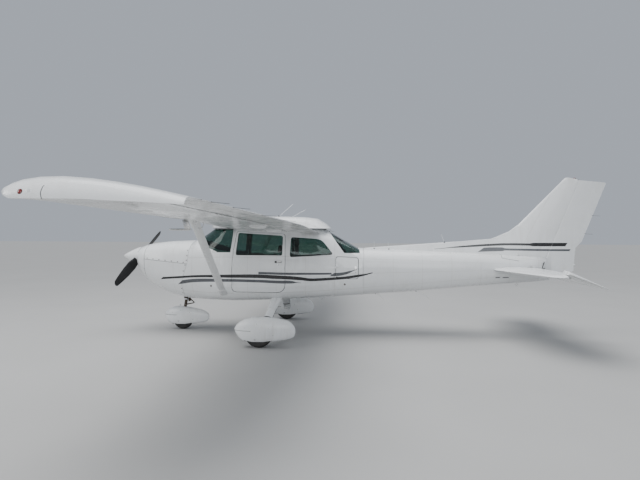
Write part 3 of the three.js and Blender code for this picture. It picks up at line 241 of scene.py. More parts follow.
# %% Rivets, seams and weather
rivet_row, given, result = start_group(
    "rivet_row",
    {"Across": 0.0, "Along": 0.0, "Pitch": 0.026, "Radius": 0.0035, "Lap": 0.0, "Width": 0.0022},
    ("Rivet", "Groove"),
)
step = calc(rivet_row, "MULTIPLY", given["Pitch"], 0.5)
along = calc(rivet_row, "WRAP", given["Along"], step, calc(rivet_row, "MULTIPLY", step, -1.0))
across_squared = calc(rivet_row, "MULTIPLY", given["Across"], given["Across"])
along_squared = calc(rivet_row, "MULTIPLY", along, along)
reach = calc(rivet_row, "SQRT", calc(rivet_row, "ADD", across_squared, along_squared))
inner = calc(rivet_row, "MULTIPLY", given["Radius"], 0.7)
rivet_row.links.new(ramp(rivet_row, reach, given["Radius"], inner), result["Rivet"])
lap = calc(rivet_row, "ABSOLUTE", calc(rivet_row, "SUBTRACT", given["Across"], given["Lap"]))
narrow = calc(rivet_row, "MULTIPLY", given["Width"], 0.35)
rivet_row.links.new(ramp(rivet_row, lap, given["Width"], narrow), result["Groove"])

weather, given, result = start_group("weather", {"Amount": 0.5}, ("Grime", "Ripple", "Polish"))
stretch = add(weather, "ShaderNodeMapping", {"Vector": given["Vector"], "Scale": (9.0, 9.0, 1.3)}).outputs[0]
runs = noise_of(weather, stretch, 1.6, 5.0)
patches = noise_of(weather, given["Vector"], 2.1, 6.0)
both = calc(weather, "MULTIPLY", ramp(weather, runs, 0.42, 0.78), ramp(weather, patches, 0.35, 0.75))
weather.links.new(calc(weather, "MULTIPLY", both, given["Amount"]), result["Grime"])
weather.links.new(noise_of(weather, given["Vector"], 3.4, 1.0), result["Ripple"])
weather.links.new(ramp(weather, patches, 0.3, 0.7, 0.0, 1.0), result["Polish"])
print("groups:", [group.name for group in bpy.data.node_groups])

# %% [markdown]
# The trim is painted, not stuck on: two black bands and four grey ones that sweep along the fuselage and
# up onto the fin. Flat strips laid on the skin would do, but paint has no thickness, so the bands are
# masks. A curve node holds the middle height of each band for every station, another holds its half width,
# and a slanted cut closes each end. The masks count only close to the fuselage, so the struts and the
# wheel fairings stay white. Each table row is a station and a value there, both in metres.

# %% Table of the trim bands
REACH = (-0.7, 7.0)
FUSELAGE_SWEEP = {
    "ends": (-0.378, 3.16),
    "slants": (-1.35, 0.0),
    "middles": (
        (-0.7, 0.905), (-0.39, 0.931), (-0.08, 0.954), (0.22, 0.975), (0.75, 0.986), (1.31, 0.991),
        (1.57, 0.981), (1.80, 0.973), (2.02, 0.958), (2.15, 0.944), (2.31, 0.950), (2.46, 0.960),
        (2.69, 0.978), (2.86, 1.002), (3.05, 1.035), (3.2, 1.068), (7.0, 1.1),
    ),
    "halves": (
        (-0.7, 0.0185), (0.35, 0.020), (1.0, 0.029), (1.75, 0.030), (2.15, 0.024), (2.9, 0.021),
        (3.16, 0.009), (7.0, 0.009),
    ),
}
FIN_SWEEP = {
    "ends": (4.20, 6.337),
    "slants": (0.0, -0.65),
    "middles": (
        (-0.7, 1.40), (4.20, 1.451), (4.5, 1.480), (4.745, 1.500), (5.10, 1.525), (5.354, 1.537),
        (5.794, 1.536), (6.34, 1.5385), (7.0, 1.54),
    ),
    "halves": (
        (-0.7, 0.0), (4.20, 0.003), (4.7, 0.014), (5.05, 0.0185), (5.74, 0.0195), (5.80, 0.029),
        (6.4, 0.029), (7.0, 0.029),
    ),
}
UPPER_GREY = {
    "ends": (1.30, 2.50),
    "slants": (0.0, 0.5),
    "middles": (
        (-0.7, 1.05), (1.31, 1.045), (1.80, 1.038), (2.15, 1.041), (2.31, 1.042), (2.5, 1.046), (7.0, 1.1),
    ),
    "halves": ((-0.7, 0.018), (1.8, 0.019), (2.4, 0.016), (7.0, 0.016)),
}
RISING_GREY = {
    "ends": (2.50, 2.91),
    "slants": (-1.5, 0.0),
    "middles": (
        (-0.7, 1.0), (2.40, 1.028), (2.584, 1.034), (2.67, 1.043), (2.80, 1.080), (2.90, 1.119),
        (3.1, 1.20), (7.0, 1.3),
    ),
    "halves": ((-0.7, 0.026), (2.6, 0.026), (2.7, 0.024), (2.8, 0.017), (2.9, 0.006), (7.0, 0.0)),
}
LOWER_GREY = {
    "ends": (-0.045, 2.0),
    "slants": (-1.5, 0.0),
    "middles": (
        (-0.7, 0.80), (-0.061, 0.867), (0.223, 0.905), (0.7, 0.916), (1.322, 0.911), (1.656, 0.901),
        (1.80, 0.902), (2.0, 0.893), (7.0, 0.8),
    ),
    "halves": (
        (-0.7, 0.030), (0.15, 0.030), (0.8, 0.024), (1.5, 0.0235), (1.7, 0.025), (1.88, 0.018),
        (2.0, 0.003), (7.0, 0.0),
    ),
}
FIN_GREY = {
    "ends": (4.96, 6.398),
    "slants": (-1.57, -0.6),
    "middles": ((-0.7, 1.43), (4.92, 1.4415), (5.10, 1.450), (5.331, 1.454), (5.40, 1.452), (7.0, 1.452)),
    "halves": ((-0.7, 0.034), (4.92, 0.034), (5.10, 0.034), (5.331, 0.030), (5.36, 0.018), (7.0, 0.018)),
}
BANDS = {
    "Black": (FUSELAGE_SWEEP, FIN_SWEEP),
    "Grey": (UPPER_GREY, RISING_GREY, LOWER_GREY, FIN_GREY),
}
print("trim bands:", {label: len(bands) for label, bands in BANDS.items()})

# %% [markdown]
# The group works out, for any point, how far it is above the middle of a band and compares that with half
# the band's width. Each edge is softened over a millimetre or so, as real paint is, and the bands of one
# colour are laid over each other by taking the larger mask.


# %% Trim masks
def station_of(tree, axes):
    return calc(tree, "SUBTRACT", axes[0], FIREWALL)


def curve_node(tree, value, points, low, high):
    node = add(tree, "ShaderNodeFloatCurve", {1: ramp(tree, value, *REACH)})
    curve = node.mapping.curves[0]
    span = REACH[1] - REACH[0]
    marks = [((x - REACH[0]) / span, (y - low) / (high - low)) for x, y in points]
    curve.points[0].location, curve.points[-1].location = marks[0], marks[-1]
    for mark in marks[1:-1]:
        curve.points.new(*mark)
    node.mapping.update()
    return ramp(tree, node.outputs[0], 0.0, 1.0, low, high)


trim_bands, given, result = start_group("trim_bands", {}, ("Black", "Grey"))
axes = add(trim_bands, "ShaderNodeSeparateXYZ", {0: given["Vector"]}).outputs
station = station_of(trim_bands, axes)
near = calc(trim_bands, "LESS_THAN", calc(trim_bands, "ABSOLUTE", axes[1]), 0.6)
SOFT_EDGE, SOFT_END = 0.0006, 0.001
for label, bands in BANDS.items():
    covered = None
    for band in bands:
        middle = curve_node(trim_bands, station, band["middles"], 0.7, 1.7)
        half = curve_node(trim_bands, station, band["halves"], 0.0, 0.05)
        height = calc(trim_bands, "SUBTRACT", axes[2], middle)
        off = calc(trim_bands, "SUBTRACT", calc(trim_bands, "ABSOLUTE", height), half)
        inside = ramp(trim_bands, off, SOFT_EDGE, -SOFT_EDGE)
        for slant, end, sign in zip(band["slants"], band["ends"], (-1, 1)):
            reached = calc(trim_bands, "MULTIPLY_ADD", height, slant, station)
            cut = ramp(trim_bands, reached, end + sign * SOFT_END, end - sign * SOFT_END)
            inside = calc(trim_bands, "MULTIPLY", inside, cut)
        covered = inside if covered is None else calc(trim_bands, "MAXIMUM", covered, inside)
    trim_bands.links.new(calc(trim_bands, "MULTIPLY", covered, near), result[label])
print("masks:", [socket.name for socket in result if socket.name])

# %% [markdown]
# All painted skins share one recipe: a clean white, the trim masks, the weather, and a set of rivet rows
# and seams. What differs from skin to skin is where the rows run, so each paint gets its own list. A row
# is a pair of numbers that the material works out at each point, across the row and along it, with the
# pitch of its rivets and the distance of the sheet's lap beside it. A row without a lap has it half a
# metre away, which is off the skin. `spaced` repeats one row at even distances, so a whole set of frames
# or ribs costs no more nodes than one. On the moving surfaces the rows are beads, wide grooves with hardly
# a rivet.


# %% Rivet rows
LAP, NO_LAP = 0.010, 0.5
FRAME_STATION, FRAME_HALF = 3.01, 0.2375
STRINGER_HALF, SKIN_RADIUS = 0.2618, 0.42
TAPER, LEADING_EDGE, CHORD = (1.98, 4.56), (0.63, 0.785), (1.655, 1.18)


def spaced(tree, value, start, half):
    return calc(tree, "WRAP", calc(tree, "SUBTRACT", value, start), half, -half)


def fuselage_rows(tree, axes):
    station = station_of(tree, axes)
    middle = calc(tree, "MULTIPLY_ADD", station, 0.0239, 0.993)
    around = calc(tree, "ARCTAN2", calc(tree, "SUBTRACT", axes[2], middle), axes[1])
    frames = spaced(tree, station, FRAME_STATION, FRAME_HALF)
    stringers = spaced(tree, around, 0.0, STRINGER_HALF)
    yield frames, calc(tree, "MULTIPLY", around, SKIN_RADIUS), 0.026, LAP
    yield calc(tree, "MULTIPLY", stringers, 0.38), station, 0.026, LAP


def cowl_rows(tree, axes):
    station = station_of(tree, axes)
    yield calc(tree, "SUBTRACT", station, -0.66), axes[2], 0.050, NO_LAP


def wing_rows(tree, axes):
    station = station_of(tree, axes)
    span = calc(tree, "ABSOLUTE", axes[1])
    taper = ramp(tree, span, *TAPER)
    edge = ramp(tree, taper, 0.0, 1.0, *LEADING_EDGE)
    chord = ramp(tree, taper, 0.0, 1.0, *CHORD)
    share = calc(tree, "DIVIDE", calc(tree, "SUBTRACT", station, edge), chord)
    yield spaced(tree, span, 0.54, 0.19), station, 0.030, NO_LAP
    for spot in (0.13, 0.27, 0.46, 0.70):
        yield calc(tree, "MULTIPLY", calc(tree, "SUBTRACT", share, spot), chord), span, 0.030, LAP


def tail_rows(tree, axes):
    station = station_of(tree, axes)
    span = calc(tree, "ABSOLUTE", axes[1])
    yield spaced(tree, span, 0.06, 0.15), station, 0.028, NO_LAP
    spar = calc(tree, "SUBTRACT", station, calc(tree, "MULTIPLY_ADD", span, 0.10, 5.28))
    yield spar, span, 0.028, LAP


def fin_rows(tree, axes):
    station = station_of(tree, axes)
    yield spaced(tree, axes[2], 1.36, 0.14), station, 0.028, NO_LAP
    spar = calc(tree, "SUBTRACT", station, calc(tree, "MULTIPLY_ADD", axes[2], 0.52, 4.83))
    yield spar, axes[2], 0.028, LAP


def plain_rows(tree, axes):
    return ()


def bead_rows(tree, axes):
    station = station_of(tree, axes)
    span = calc(tree, "ABSOLUTE", axes[1])
    yield spaced(tree, span, 0.0, 0.045), station, 0.5, 0.0, 0.012


print("rivet rows ready")

# %% [markdown]
# Wider joint lines show where whole pieces meet: cowl halves, wheel pant halves, the rear of the tail cone
# and the wing tips. Each function gives, for any point, its distance from such a line, so the line is
# where the distance is zero. Where a line ends, a large number is added to the distance, and the line is
# nowhere beyond that. Real grooves could be cut into the skins, but a gap a few millimetres wide shows
# only as a dark line, and a mask draws it without a single new face.


# %% Joint lines
NOWHERE = 20.0


def no_seams(tree, axes):
    return ()


def cowl_seams(tree, axes):
    station = station_of(tree, axes)
    low = ramp(tree, axes[2], 0.88, 1.215, -0.015, 0.095)
    high = ramp(tree, axes[2], 1.215, 1.45, 0.0, 0.017)
    top = ramp(tree, axes[2], 1.45, 1.64, 0.0, 0.018)
    edge = calc(tree, "ADD", calc(tree, "ADD", low, high), top)
    yield calc(tree, "SUBTRACT", station, edge)
    split = calc(tree, "MULTIPLY_ADD", station, -0.09495, 1.18648)
    behind = ramp(tree, station, -0.692, -0.690, 1.0, 0.0)
    ahead = ramp(tree, calc(tree, "SUBTRACT", station, edge), 0.0, 0.002)
    yield calc(tree, "ADD", calc(tree, "SUBTRACT", axes[2], split), calc(tree, "ADD", behind, ahead))
    yield calc(tree, "SUBTRACT", station, -0.690)


def pant_seams(tree, axes):
    station = station_of(tree, axes)
    main = calc(tree, "GREATER_THAN", station, 0.8)
    end = calc(tree, "MULTIPLY_ADD", main, 1.64, -0.26)
    behind = ramp(tree, calc(tree, "SUBTRACT", station, end), 0.0, 0.01)
    yield calc(tree, "ADD", calc(tree, "SUBTRACT", axes[2], 0.255), behind)


def tail_seams(tree, axes):
    station = station_of(tree, axes)
    low = ramp(tree, axes[2], 1.305, 1.312)
    high = ramp(tree, axes[2], 1.46, 1.45)
    shown = calc(tree, "SUBTRACT", 1.0, calc(tree, "MULTIPLY", low, high))
    yield calc(tree, "MULTIPLY_ADD", shown, NOWHERE, calc(tree, "SUBTRACT", station, 5.277))
    slope = calc(tree, "MULTIPLY_ADD", station, -0.167, 2.192)
    within = calc(tree, "MULTIPLY", ramp(tree, station, 5.27, 5.277), ramp(tree, station, 5.56, 5.55))
    past = calc(tree, "SUBTRACT", 1.0, within)
    yield calc(tree, "MULTIPLY_ADD", past, NOWHERE, calc(tree, "SUBTRACT", axes[2], slope))


TIP_SPAN = 4.56
COVER_MIDDLE, COVER_STATION, COVER_BOW, COVER_TOP = 1.8706, 1.1185, 5.13, 1.915


def tip_seams(tree, axes):
    span = calc(tree, "SUBTRACT", calc(tree, "ABSOLUTE", axes[1]), 0.56)
    rise = calc(tree, "MULTIPLY", calc(tree, "SUBTRACT", axes[2], 1.71), 0.03024)
    yield calc(tree, "SUBTRACT", calc(tree, "MULTIPLY_ADD", span, 0.99954, rise), TIP_SPAN)
    height = calc(tree, "SUBTRACT", axes[2], COVER_MIDDLE)
    bow = calc(tree, "MULTIPLY", height, height)
    edge = calc(tree, "MULTIPLY_ADD", bow, COVER_BOW, COVER_STATION)
    inboard = calc(tree, "LESS_THAN", span, TIP_SPAN)
    away = calc(tree, "MAXIMUM", inboard, calc(tree, "GREATER_THAN", axes[2], COVER_TOP))
    yield calc(tree, "MULTIPLY_ADD", away, NOWHERE, calc(tree, "SUBTRACT", station_of(tree, axes), edge))


print("joint lines on cowl, pants, tail and tips")

# %% [markdown]
# The recipe lays these over each other from the bottom up: white, runs of grime, the laps and the rivets,
# the joint lines, then the trim. The same masks also raise and lower the surface a little through one bump
# node, so that a rivet is both a faint spot and a faint pimple.

# %% White paints
WHITE = (0.80, 0.815, 0.82, 1)
BLACK = (0.010, 0.010, 0.012, 1)
GREY = (0.085, 0.09, 0.10, 1)
GRIME = (0.36, 0.33, 0.28, 1)
LAP_WIDTH = 0.0022


def mix_paint(name, rows, grime, ripple, seams):
    material, tree, shader, place = start_material(name, 0.25, Coat_Weight=0.35, Coat_Roughness=0.08)
    axes = add(tree, "ShaderNodeSeparateXYZ", {0: place}).outputs
    trim = place_group(tree, trim_bands, {"Vector": place})
    worn = place_group(tree, weather, {"Vector": place, "Amount": grime})
    heads, grooves = None, None
    for across, along, pitch, lap, *width in rows(tree, axes):
        inputs = {"Across": across, "Along": along, "Pitch": pitch, "Lap": lap}
        inputs["Width"] = width[0] if width else LAP_WIDTH
        row = place_group(tree, rivet_row, inputs)
        heads = row["Rivet"] if heads is None else calc(tree, "MAXIMUM", heads, row["Rivet"])
        grooves = row["Groove"] if grooves is None else calc(tree, "MAXIMUM", grooves, row["Groove"])
    colour = blend_colour(tree, worn["Grime"], WHITE, GRIME)
    height = calc(tree, "MULTIPLY", worn["Ripple"], ripple)
    if heads is not None:
        colour = blend_colour(tree, calc(tree, "MULTIPLY", grooves, 0.45), colour, GRIME)
        colour = blend_colour(tree, calc(tree, "MULTIPLY", heads, 0.10), colour, GRIME)
        height = calc(tree, "MULTIPLY_ADD", heads, 0.0005, height)
        height = calc(tree, "MULTIPLY_ADD", grooves, -0.0010, height)
    for distance in seams(tree, axes):
        line = ramp(tree, calc(tree, "ABSOLUTE", distance), 0.0038, 0.0022)
        colour = blend_colour(tree, calc(tree, "MULTIPLY", line, 0.9), colour, BLACK)
        height = calc(tree, "MULTIPLY_ADD", line, -0.0015, height)
    colour = blend_colour(tree, trim["Black"], colour, BLACK)
    colour = blend_colour(tree, trim["Grey"], colour, GREY)
    tree.links.new(colour, shader["Base Color"])
    gloss = calc(tree, "MULTIPLY_ADD", worn["Polish"], 0.10, 0.20)
    tree.links.new(calc(tree, "MULTIPLY_ADD", worn["Grime"], 0.5, gloss), shader["Roughness"])
    raise_bump(tree, height, 1.0, shader)
    return material


PAINTS = (
    ("fuselage_paint", fuselage_rows, 0.35, 0.006, tail_seams),
    ("cowl_paint", cowl_rows, 0.3, 0.006, cowl_seams),
    ("pant_paint", plain_rows, 0.5, 0.002, pant_seams),
    ("panel_beads", bead_rows, 0.3, 0.006, no_seams),
    ("wing_paint", wing_rows, 0.3, 0.006, tip_seams),
    ("tip_paint", plain_rows, 0.3, 0.002, tip_seams),
    ("tail_paint", tail_rows, 0.3, 0.006, no_seams),
    ("fin_paint", fin_rows, 0.3, 0.006, no_seams),
    ("smooth_paint", plain_rows, 0.3, 0.002, no_seams),
)
finishes = {name: mix_paint(name, rows, grime, ripple, seams) for name, rows, grime, ripple, seams in PAINTS}
print("paints:", sorted(finishes))

# %% [markdown]
# The other finishes are mottled rather than painted: rubber is matt and dusty, the blades are satin black,
# steel is bright or browned, the engine is rough grey casting, and lining and carpet are dull and grainy.
# A single flat colour would look like plastic, so each is two close colours mixed by a fine noise and a
# broad one, and the same fine noise makes its grain.


# %% Rubber, metal, lenses and lining
def mix_solid(name, low, high, roughness, scale, bump, **plain):
    material, tree, shader, place = start_material(name, roughness, **plain)
    noise = noise_of(tree, place, scale, 6.0)
    broad = noise_of(tree, place, scale / 14, 3.0)
    mixed = calc(tree, "MULTIPLY", calc(tree, "ADD", noise, broad), 0.5)
    tree.links.new(blend_colour(tree, ramp(tree, mixed, 0.35, 0.65), low, high), shader["Base Color"])
    rough = ramp(tree, mixed, 0.3, 0.7, max(roughness - 0.1, 0.03), min(roughness + 0.1, 1.0))
    tree.links.new(rough, shader["Roughness"])
    raise_bump(tree, noise, bump, shader)
    return material


# Each row: darker colour, lighter colour, roughness, grain scale, bump height in metres, other settings.
SATIN = {"Specular_IOR_Level": 0.25}
FINISHES = {
    "tyre_rubber": ((0.018, 0.018, 0.019), (0.050, 0.048, 0.045), 0.78, 120, 0.0006, {}),
    # This black is real rubber on most pieces, and painted shade where it stands for recesses, holes, vents
    # and inlets.
    "black_rubber_and_shade": ((0.012, 0.012, 0.013), (0.024, 0.024, 0.024), 0.6, 300, 0.0002, {}),
    "blade_black": ((0.006, 0.006, 0.007), (0.013, 0.013, 0.014), 0.42, 60, 0.0001, SATIN),
    "wheel_metal": ((0.50, 0.51, 0.52), (0.66, 0.67, 0.68), 0.34, 200, 0.0001, {"Metallic": 1.0}),
    "bright_steel": ((0.62, 0.62, 0.61), (0.75, 0.75, 0.74), 0.25, 90, 0.00005, {"Metallic": 1.0}),
    "dark_steel": ((0.05, 0.045, 0.04), (0.13, 0.10, 0.08), 0.5, 90, 0.0003, {"Metallic": 1.0}),
    "engine_iron": ((0.09, 0.09, 0.09), (0.20, 0.20, 0.19), 0.6, 140, 0.0008, {"Metallic": 0.6}),
    "panel_black": ((0.015, 0.015, 0.016), (0.028, 0.028, 0.029), 0.55, 500, 0.0002, {}),
    "cabin_lining": ((0.13, 0.13, 0.125), (0.18, 0.18, 0.17), 0.85, 400, 0.0005, {}),
    "cabin_carpet": ((0.05, 0.052, 0.058), (0.10, 0.102, 0.108), 0.95, 700, 0.0015, {}),
    "belt_webbing": ((0.020, 0.021, 0.024), (0.045, 0.046, 0.05), 0.9, 900, 0.0008, {}),
    "dial_white": ((0.62, 0.62, 0.60), (0.72, 0.72, 0.70), 0.6, 300, 0.0001, {}),
    # This dark glass is real on the dials and radios, and painted shade behind the landing light's cover.
    "dark_glass_and_shade": ((0.010, 0.016, 0.014), (0.018, 0.030, 0.026), 0.08, 40, 0.0001, {"Coat_Weight": 0.5}),
    "red_lens": ((0.11, 0.004, 0.003), (0.20, 0.008, 0.006), 0.12, 160, 0.0008, {"Coat_Weight": 0.8}),
    "green_lens": ((0.010, 0.25, 0.06), (0.02, 0.38, 0.12), 0.12, 160, 0.0008, {"Coat_Weight": 0.8}),
    "clear_lens": ((0.62, 0.64, 0.64), (0.80, 0.82, 0.82), 0.10, 160, 0.0008, {"Coat_Weight": 0.8}),
    "pipe_black": ((0.03, 0.03, 0.032), (0.05, 0.05, 0.052), 0.5, 200, 0.0002, {}),
}
for name, (low, high, roughness, scale, bump, plain) in FINISHES.items():
    finishes[name] = mix_solid(name, (*low, 1), (*high, 1), roughness, scale, bump, **plain)
print("plain finishes:", len(FINISHES))

# %% [markdown]
# Two finishes need more. Seat cloth has ribs a few millimetres apart with loose threads over them, and
# worn, paler places. The windows are tinted acrylic that light passes through, with a faint haze that
# changes how sharp the reflections are. Cloth could be woven thread by thread, but from outside the cabin
# only its sheen and its ribs show, so a wave and a noise are enough.

# %% Seat cloth and glazing
finish, tree, shader, place = start_material("seat_fabric", 0.9, Sheen_Weight=0.35)
sideways = add(tree, "ShaderNodeSeparateXYZ", {0: place}).outputs[1]
ribs = calc(tree, "SINE", calc(tree, "MULTIPLY", sideways, 1400.0))
threads = noise_of(tree, place, 900.0, 2.0)
shade = noise_of(tree, place, 9.0, 4.0)
weave = calc(tree, "MULTIPLY_ADD", ribs, 0.2, threads)
cloth_colour = blend_colour(tree, weave, (0.090, 0.080, 0.068, 1), (0.165, 0.150, 0.130, 1))
wear = ramp(tree, shade, 0.45, 0.8, 0.0, 0.5)
worn_colour = blend_colour(tree, wear, cloth_colour, (0.20, 0.185, 0.165, 1))
tree.links.new(worn_colour, shader["Base Color"])
tree.links.new(ramp(tree, shade, 0.3, 0.7, 0.82, 0.95), shader["Roughness"])
raise_bump(tree, weave, 0.0006, shader)
finishes["seat_fabric"] = finish

finish, tree, shader, place = start_material(
    "glazing", 0.02, Transmission_Weight=1.0, IOR=1.45, Base_Color=(0.20, 0.33, 0.29, 1)
)
haze = noise_of(tree, place, 14.0, 5.0)
tree.links.new(ramp(tree, haze, 0.45, 0.8, 0.01, 0.07), shader["Roughness"])
tint = blend_colour(tree, haze, (0.17, 0.30, 0.26, 1), (0.23, 0.36, 0.32, 1))
tree.links.new(tint, shader["Base Color"])
finishes["glazing"] = finish
print("finishes:", len(finishes))

# %% [markdown]
# The solids have the right shapes but flat faces. A skin is a copy of a solid whose corners are merged and
# whose shallow edges are shaded smooth, so that only true edges stay sharp. The skin rides on the solid's
# own body and stands in for it. The inner faces of the cabin and the doors get lining instead of paint.
# All of this could be modelled again, but a copy keeps every gap and joint as it was.


# %% Smooth skins
def choose(piece):
    if bpy.context.object and bpy.context.object.mode != "OBJECT":
        bpy.ops.object.mode_set(mode="OBJECT")
    bpy.ops.object.select_all(action="DESELECT")
    piece.select_set(True)
    bpy.context.view_layer.objects.active = piece


def smooth(piece, angle=32.0):
    choose(piece)
    bpy.ops.object.shade_smooth_by_angle(angle=math.radians(angle))


def apply_modifier(piece, kind, **settings):
    modifier = piece.modifiers.new(kind.lower(), kind)
    for key, value in settings.items():
        setattr(modifier, key, value)
    choose(piece)
    bpy.ops.object.modifier_apply(modifier=modifier.name)


def copy_mesh(mesh, name):
    piece = bpy.data.objects.new(name, mesh.copy())
    bpy.context.scene.collection.objects.link(piece)
    return piece


def copy_solid(node, name):
    piece = copy_mesh(solids[node].data, name)
    piece.data.materials.clear()
    choose(piece)
    bpy.ops.object.mode_set(mode="EDIT")
    bpy.ops.mesh.select_all(action="SELECT")
    bpy.ops.mesh.remove_doubles(threshold=0.00005)
    bpy.ops.object.mode_set(mode="OBJECT")
    return piece


print("ready to copy solids")

# %% [markdown]
# Each finish lists the solids that wear it. Weighted normals keep the broad faces flat and push the
# shading into the small faces beside them, so that a lofted panel reflects evenly.

# %% Dress the solids
SKINS = {
    "fuselage_paint": ("cabin_shell", "roof", "tail_cone", "door_left", "door_right", "baggage_door"),
    "cowl_paint": ("cowl_upper", "cowl_lower", "nose_cap"),
    "wing_paint": ("wing_left", "wing_right"),
    "panel_beads": ("aileron_left", "aileron_right", "flap_left", "flap_right", "elevator", "trim_tab"),
    "tail_paint": ("stabilizer",),
    "fin_paint": ("fin", "rudder"),
    "tip_paint": ("wing_tip_left", "wing_tip_right"),
    "smooth_paint": ("strut_left", "strut_right", "gear_leg_left", "gear_leg_right"),
    "pant_paint": ("pant_left", "pant_right", "nose_pant"),
    "glazing": (
        "windshield", "rear_window", "side_window_left", "side_window_right", "door_glass_left",
        "door_glass_right",
    ),
    "blade_black": ("propeller",),
    "dark_steel": ("exhaust", "nose_fork", "nose_strut"),
    "bright_steel": ("firewall",),
    "panel_black": ("instrument_panel",),
}
skins = {}
for finish_name, nodes in SKINS.items():
    for node in nodes:
        skin = copy_solid(node, node + "_skin")
        skin.data.materials.append(finishes[finish_name])
        smooth(skin)
        apply_modifier(skin, "WEIGHTED_NORMAL", keep_sharp=True)
        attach(skin, solids[node]["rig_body"])
        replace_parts(skin, node)
        skins[node] = skin
print("skins:", len(skins))

# %% [markdown]
# Inside the cabin the sheet is covered with lining, and the floor with carpet. Separate linings could be
# cut and laid in, but at this size a second material on the same faces looks the same. A face belongs to
# the inside when it looks towards the middle of the cabin, which one small sum for each face tells.

# %% Lining and carpet
CABIN_HALF, CABIN_MIDDLE, ROOF_LINING_END, ROOF_LINING_HALF = 0.545, 1.15, 2.2, 0.5
LINING, CARPET = 1, 2


def is_inside(node, face):
    spot = face.center
    inward = face.normal.y * spot.y + face.normal.z * (spot.z - CABIN_MIDDLE) * 0.6
    if abs(spot.y) >= CABIN_HALF or inward >= -0.02:
        return False
    return node != "roof" or (spot.x < ROOF_LINING_END + FIREWALL and abs(spot.y) < ROOF_LINING_HALF)


for node in ("cabin_shell", "door_left", "door_right", "baggage_door", "roof"):
    mesh = skins[node].data
    mesh.materials.append(finishes["cabin_lining"])
    mesh.materials.append(finishes["cabin_carpet"])
    for face in mesh.polygons:
        if is_inside(node, face):
            face.material_index = CARPET if face.normal.z > 0.8 and face.center.z < 0.9 else LINING
print("lined", sum(f.material_index > 0 for f in skins["cabin_shell"].data.polygons), "faces of the cabin")

# %% [markdown]
# The small pieces share a few ways of working. `finish_piece` bakes a piece's place into its mesh, gives
# it its name, its finish and the body it moves with. `pick` selects faces, edges or points by a test,
# because an operator acts on whatever is selected.

# %% Finishing pieces
SIDES = ((-1, "left"), (1, "right"))


def finish_piece(piece, name, finish, body="airframe", angle=32.0):
    choose(piece)
    bpy.ops.object.transform_apply(location=True, rotation=True, scale=True)
    piece.name = name
    piece.data.name = name
    piece.data.materials.clear()
    piece.data.materials.append(finishes[finish])
    smooth(piece, angle)
    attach(piece, body)
    return piece


def pick(piece, test, kind="FACE"):
    choose(piece)
    bpy.ops.object.mode_set(mode="EDIT")
    bpy.ops.mesh.select_mode(type=kind)
    bpy.ops.mesh.select_all(action="DESELECT")
    bpy.ops.object.mode_set(mode="OBJECT")
    parts = {"FACE": piece.data.polygons, "EDGE": piece.data.edges, "VERT": piece.data.vertices}[kind]
    for part in parts:
        part.select = bool(test(part))
    bpy.ops.object.mode_set(mode="EDIT")


# %% [markdown]
# `turned` grows a round piece: it starts from a circle and extrudes and resizes it ring by ring, as a
# potter pulls up a wall. A profile is a list of radius and height, from the foot up. `fitting` is a turned
# piece that waits at the origin to be copied, and `block` is a cube with a real edge radius.


# %% Round pieces and blocks
def face_along(direction):
    return Vector(direction).to_track_quat("Z", "Y").to_matrix().to_4x4()


def leaning(degrees):
    return Matrix.Rotation(math.radians(degrees), 4, "Y")


def turned(spot, direction, profile, sides=32):
    bpy.ops.object.select_all(action="DESELECT")
    radius, height = profile[0]
    foot = (0, 0, height)
    bpy.ops.mesh.primitive_circle_add(vertices=sides, radius=radius, fill_type="NGON", location=foot)
    piece = bpy.context.object
    bpy.ops.object.mode_set(mode="EDIT")
    for (before, low), (after, high) in zip(profile, profile[1:]):
        bpy.ops.mesh.extrude_region_move(TRANSFORM_OT_translate={"value": (0, 0, high - low)})
        bpy.ops.transform.resize(value=(after / before, after / before, 1))
    bpy.ops.mesh.select_all(action="SELECT")
    bpy.ops.mesh.normals_make_consistent(inside=False)
    bpy.ops.object.mode_set(mode="OBJECT")
    choose(piece)
    bpy.ops.object.transform_apply(location=True, rotation=True, scale=True)
    piece.matrix_world = Matrix.Translation(spot) @ face_along(direction)
    return piece


def fitting(profile, sides):
    return turned((0, 0, 0), (0, 0, 1), profile, sides)


def block(spot, size, edge=0.004, steps=2, lean=0.0):
    bpy.ops.object.select_all(action="DESELECT")
    bpy.ops.mesh.primitive_cube_add(size=1)
    piece = bpy.context.object
    piece.scale = size
    bpy.ops.object.transform_apply(location=True, rotation=True, scale=True)
    bpy.ops.object.mode_set(mode="EDIT")
    bpy.ops.mesh.select_all(action="SELECT")
    bpy.ops.mesh.bevel(offset=edge, offset_type="OFFSET", segments=steps, affect="EDGES")
    bpy.ops.object.mode_set(mode="OBJECT")
    piece.matrix_world = Matrix.Translation(spot) @ leaning(lean)
    return piece


print("turned pieces, fittings and blocks ready")

# %% [markdown]
# `rod` is a curve with thickness turned into a mesh, `join` makes one piece of several, and `spread`
# copies one master to many places. `land` sends a ray at a skin and tells where it lands and which way the
# skin faces there, so that a fitting sits on the metal wherever the metal is.


# %% Rods, copies and places
def rod(spots, thickness, bent=True, closed=False, steps=3):
    bpy.ops.object.select_all(action="DESELECT")
    path = bpy.data.curves.new("rod", "CURVE")
    path.dimensions = "3D"
    path.bevel_depth = thickness / 2
    path.bevel_resolution = steps
    path.resolution_u = 8 if bent else 1
    path.use_fill_caps = True
    line = path.splines.new("BEZIER")
    line.bezier_points.add(len(spots) - 1)
    line.use_cyclic_u = closed
    for point, spot in zip(line.bezier_points, spots):
        point.co = spot
        point.handle_left_type = point.handle_right_type = "AUTO" if bent else "VECTOR"
    piece = bpy.data.objects.new("rod", path)
    bpy.context.scene.collection.objects.link(piece)
    choose(piece)
    bpy.ops.object.convert(target="MESH")
    return bpy.context.object


def join(pieces):
    bpy.ops.object.select_all(action="DESELECT")
    for piece in pieces:
        piece.select_set(True)
    bpy.context.view_layer.objects.active = pieces[0]
    bpy.ops.object.join()
    return bpy.context.object


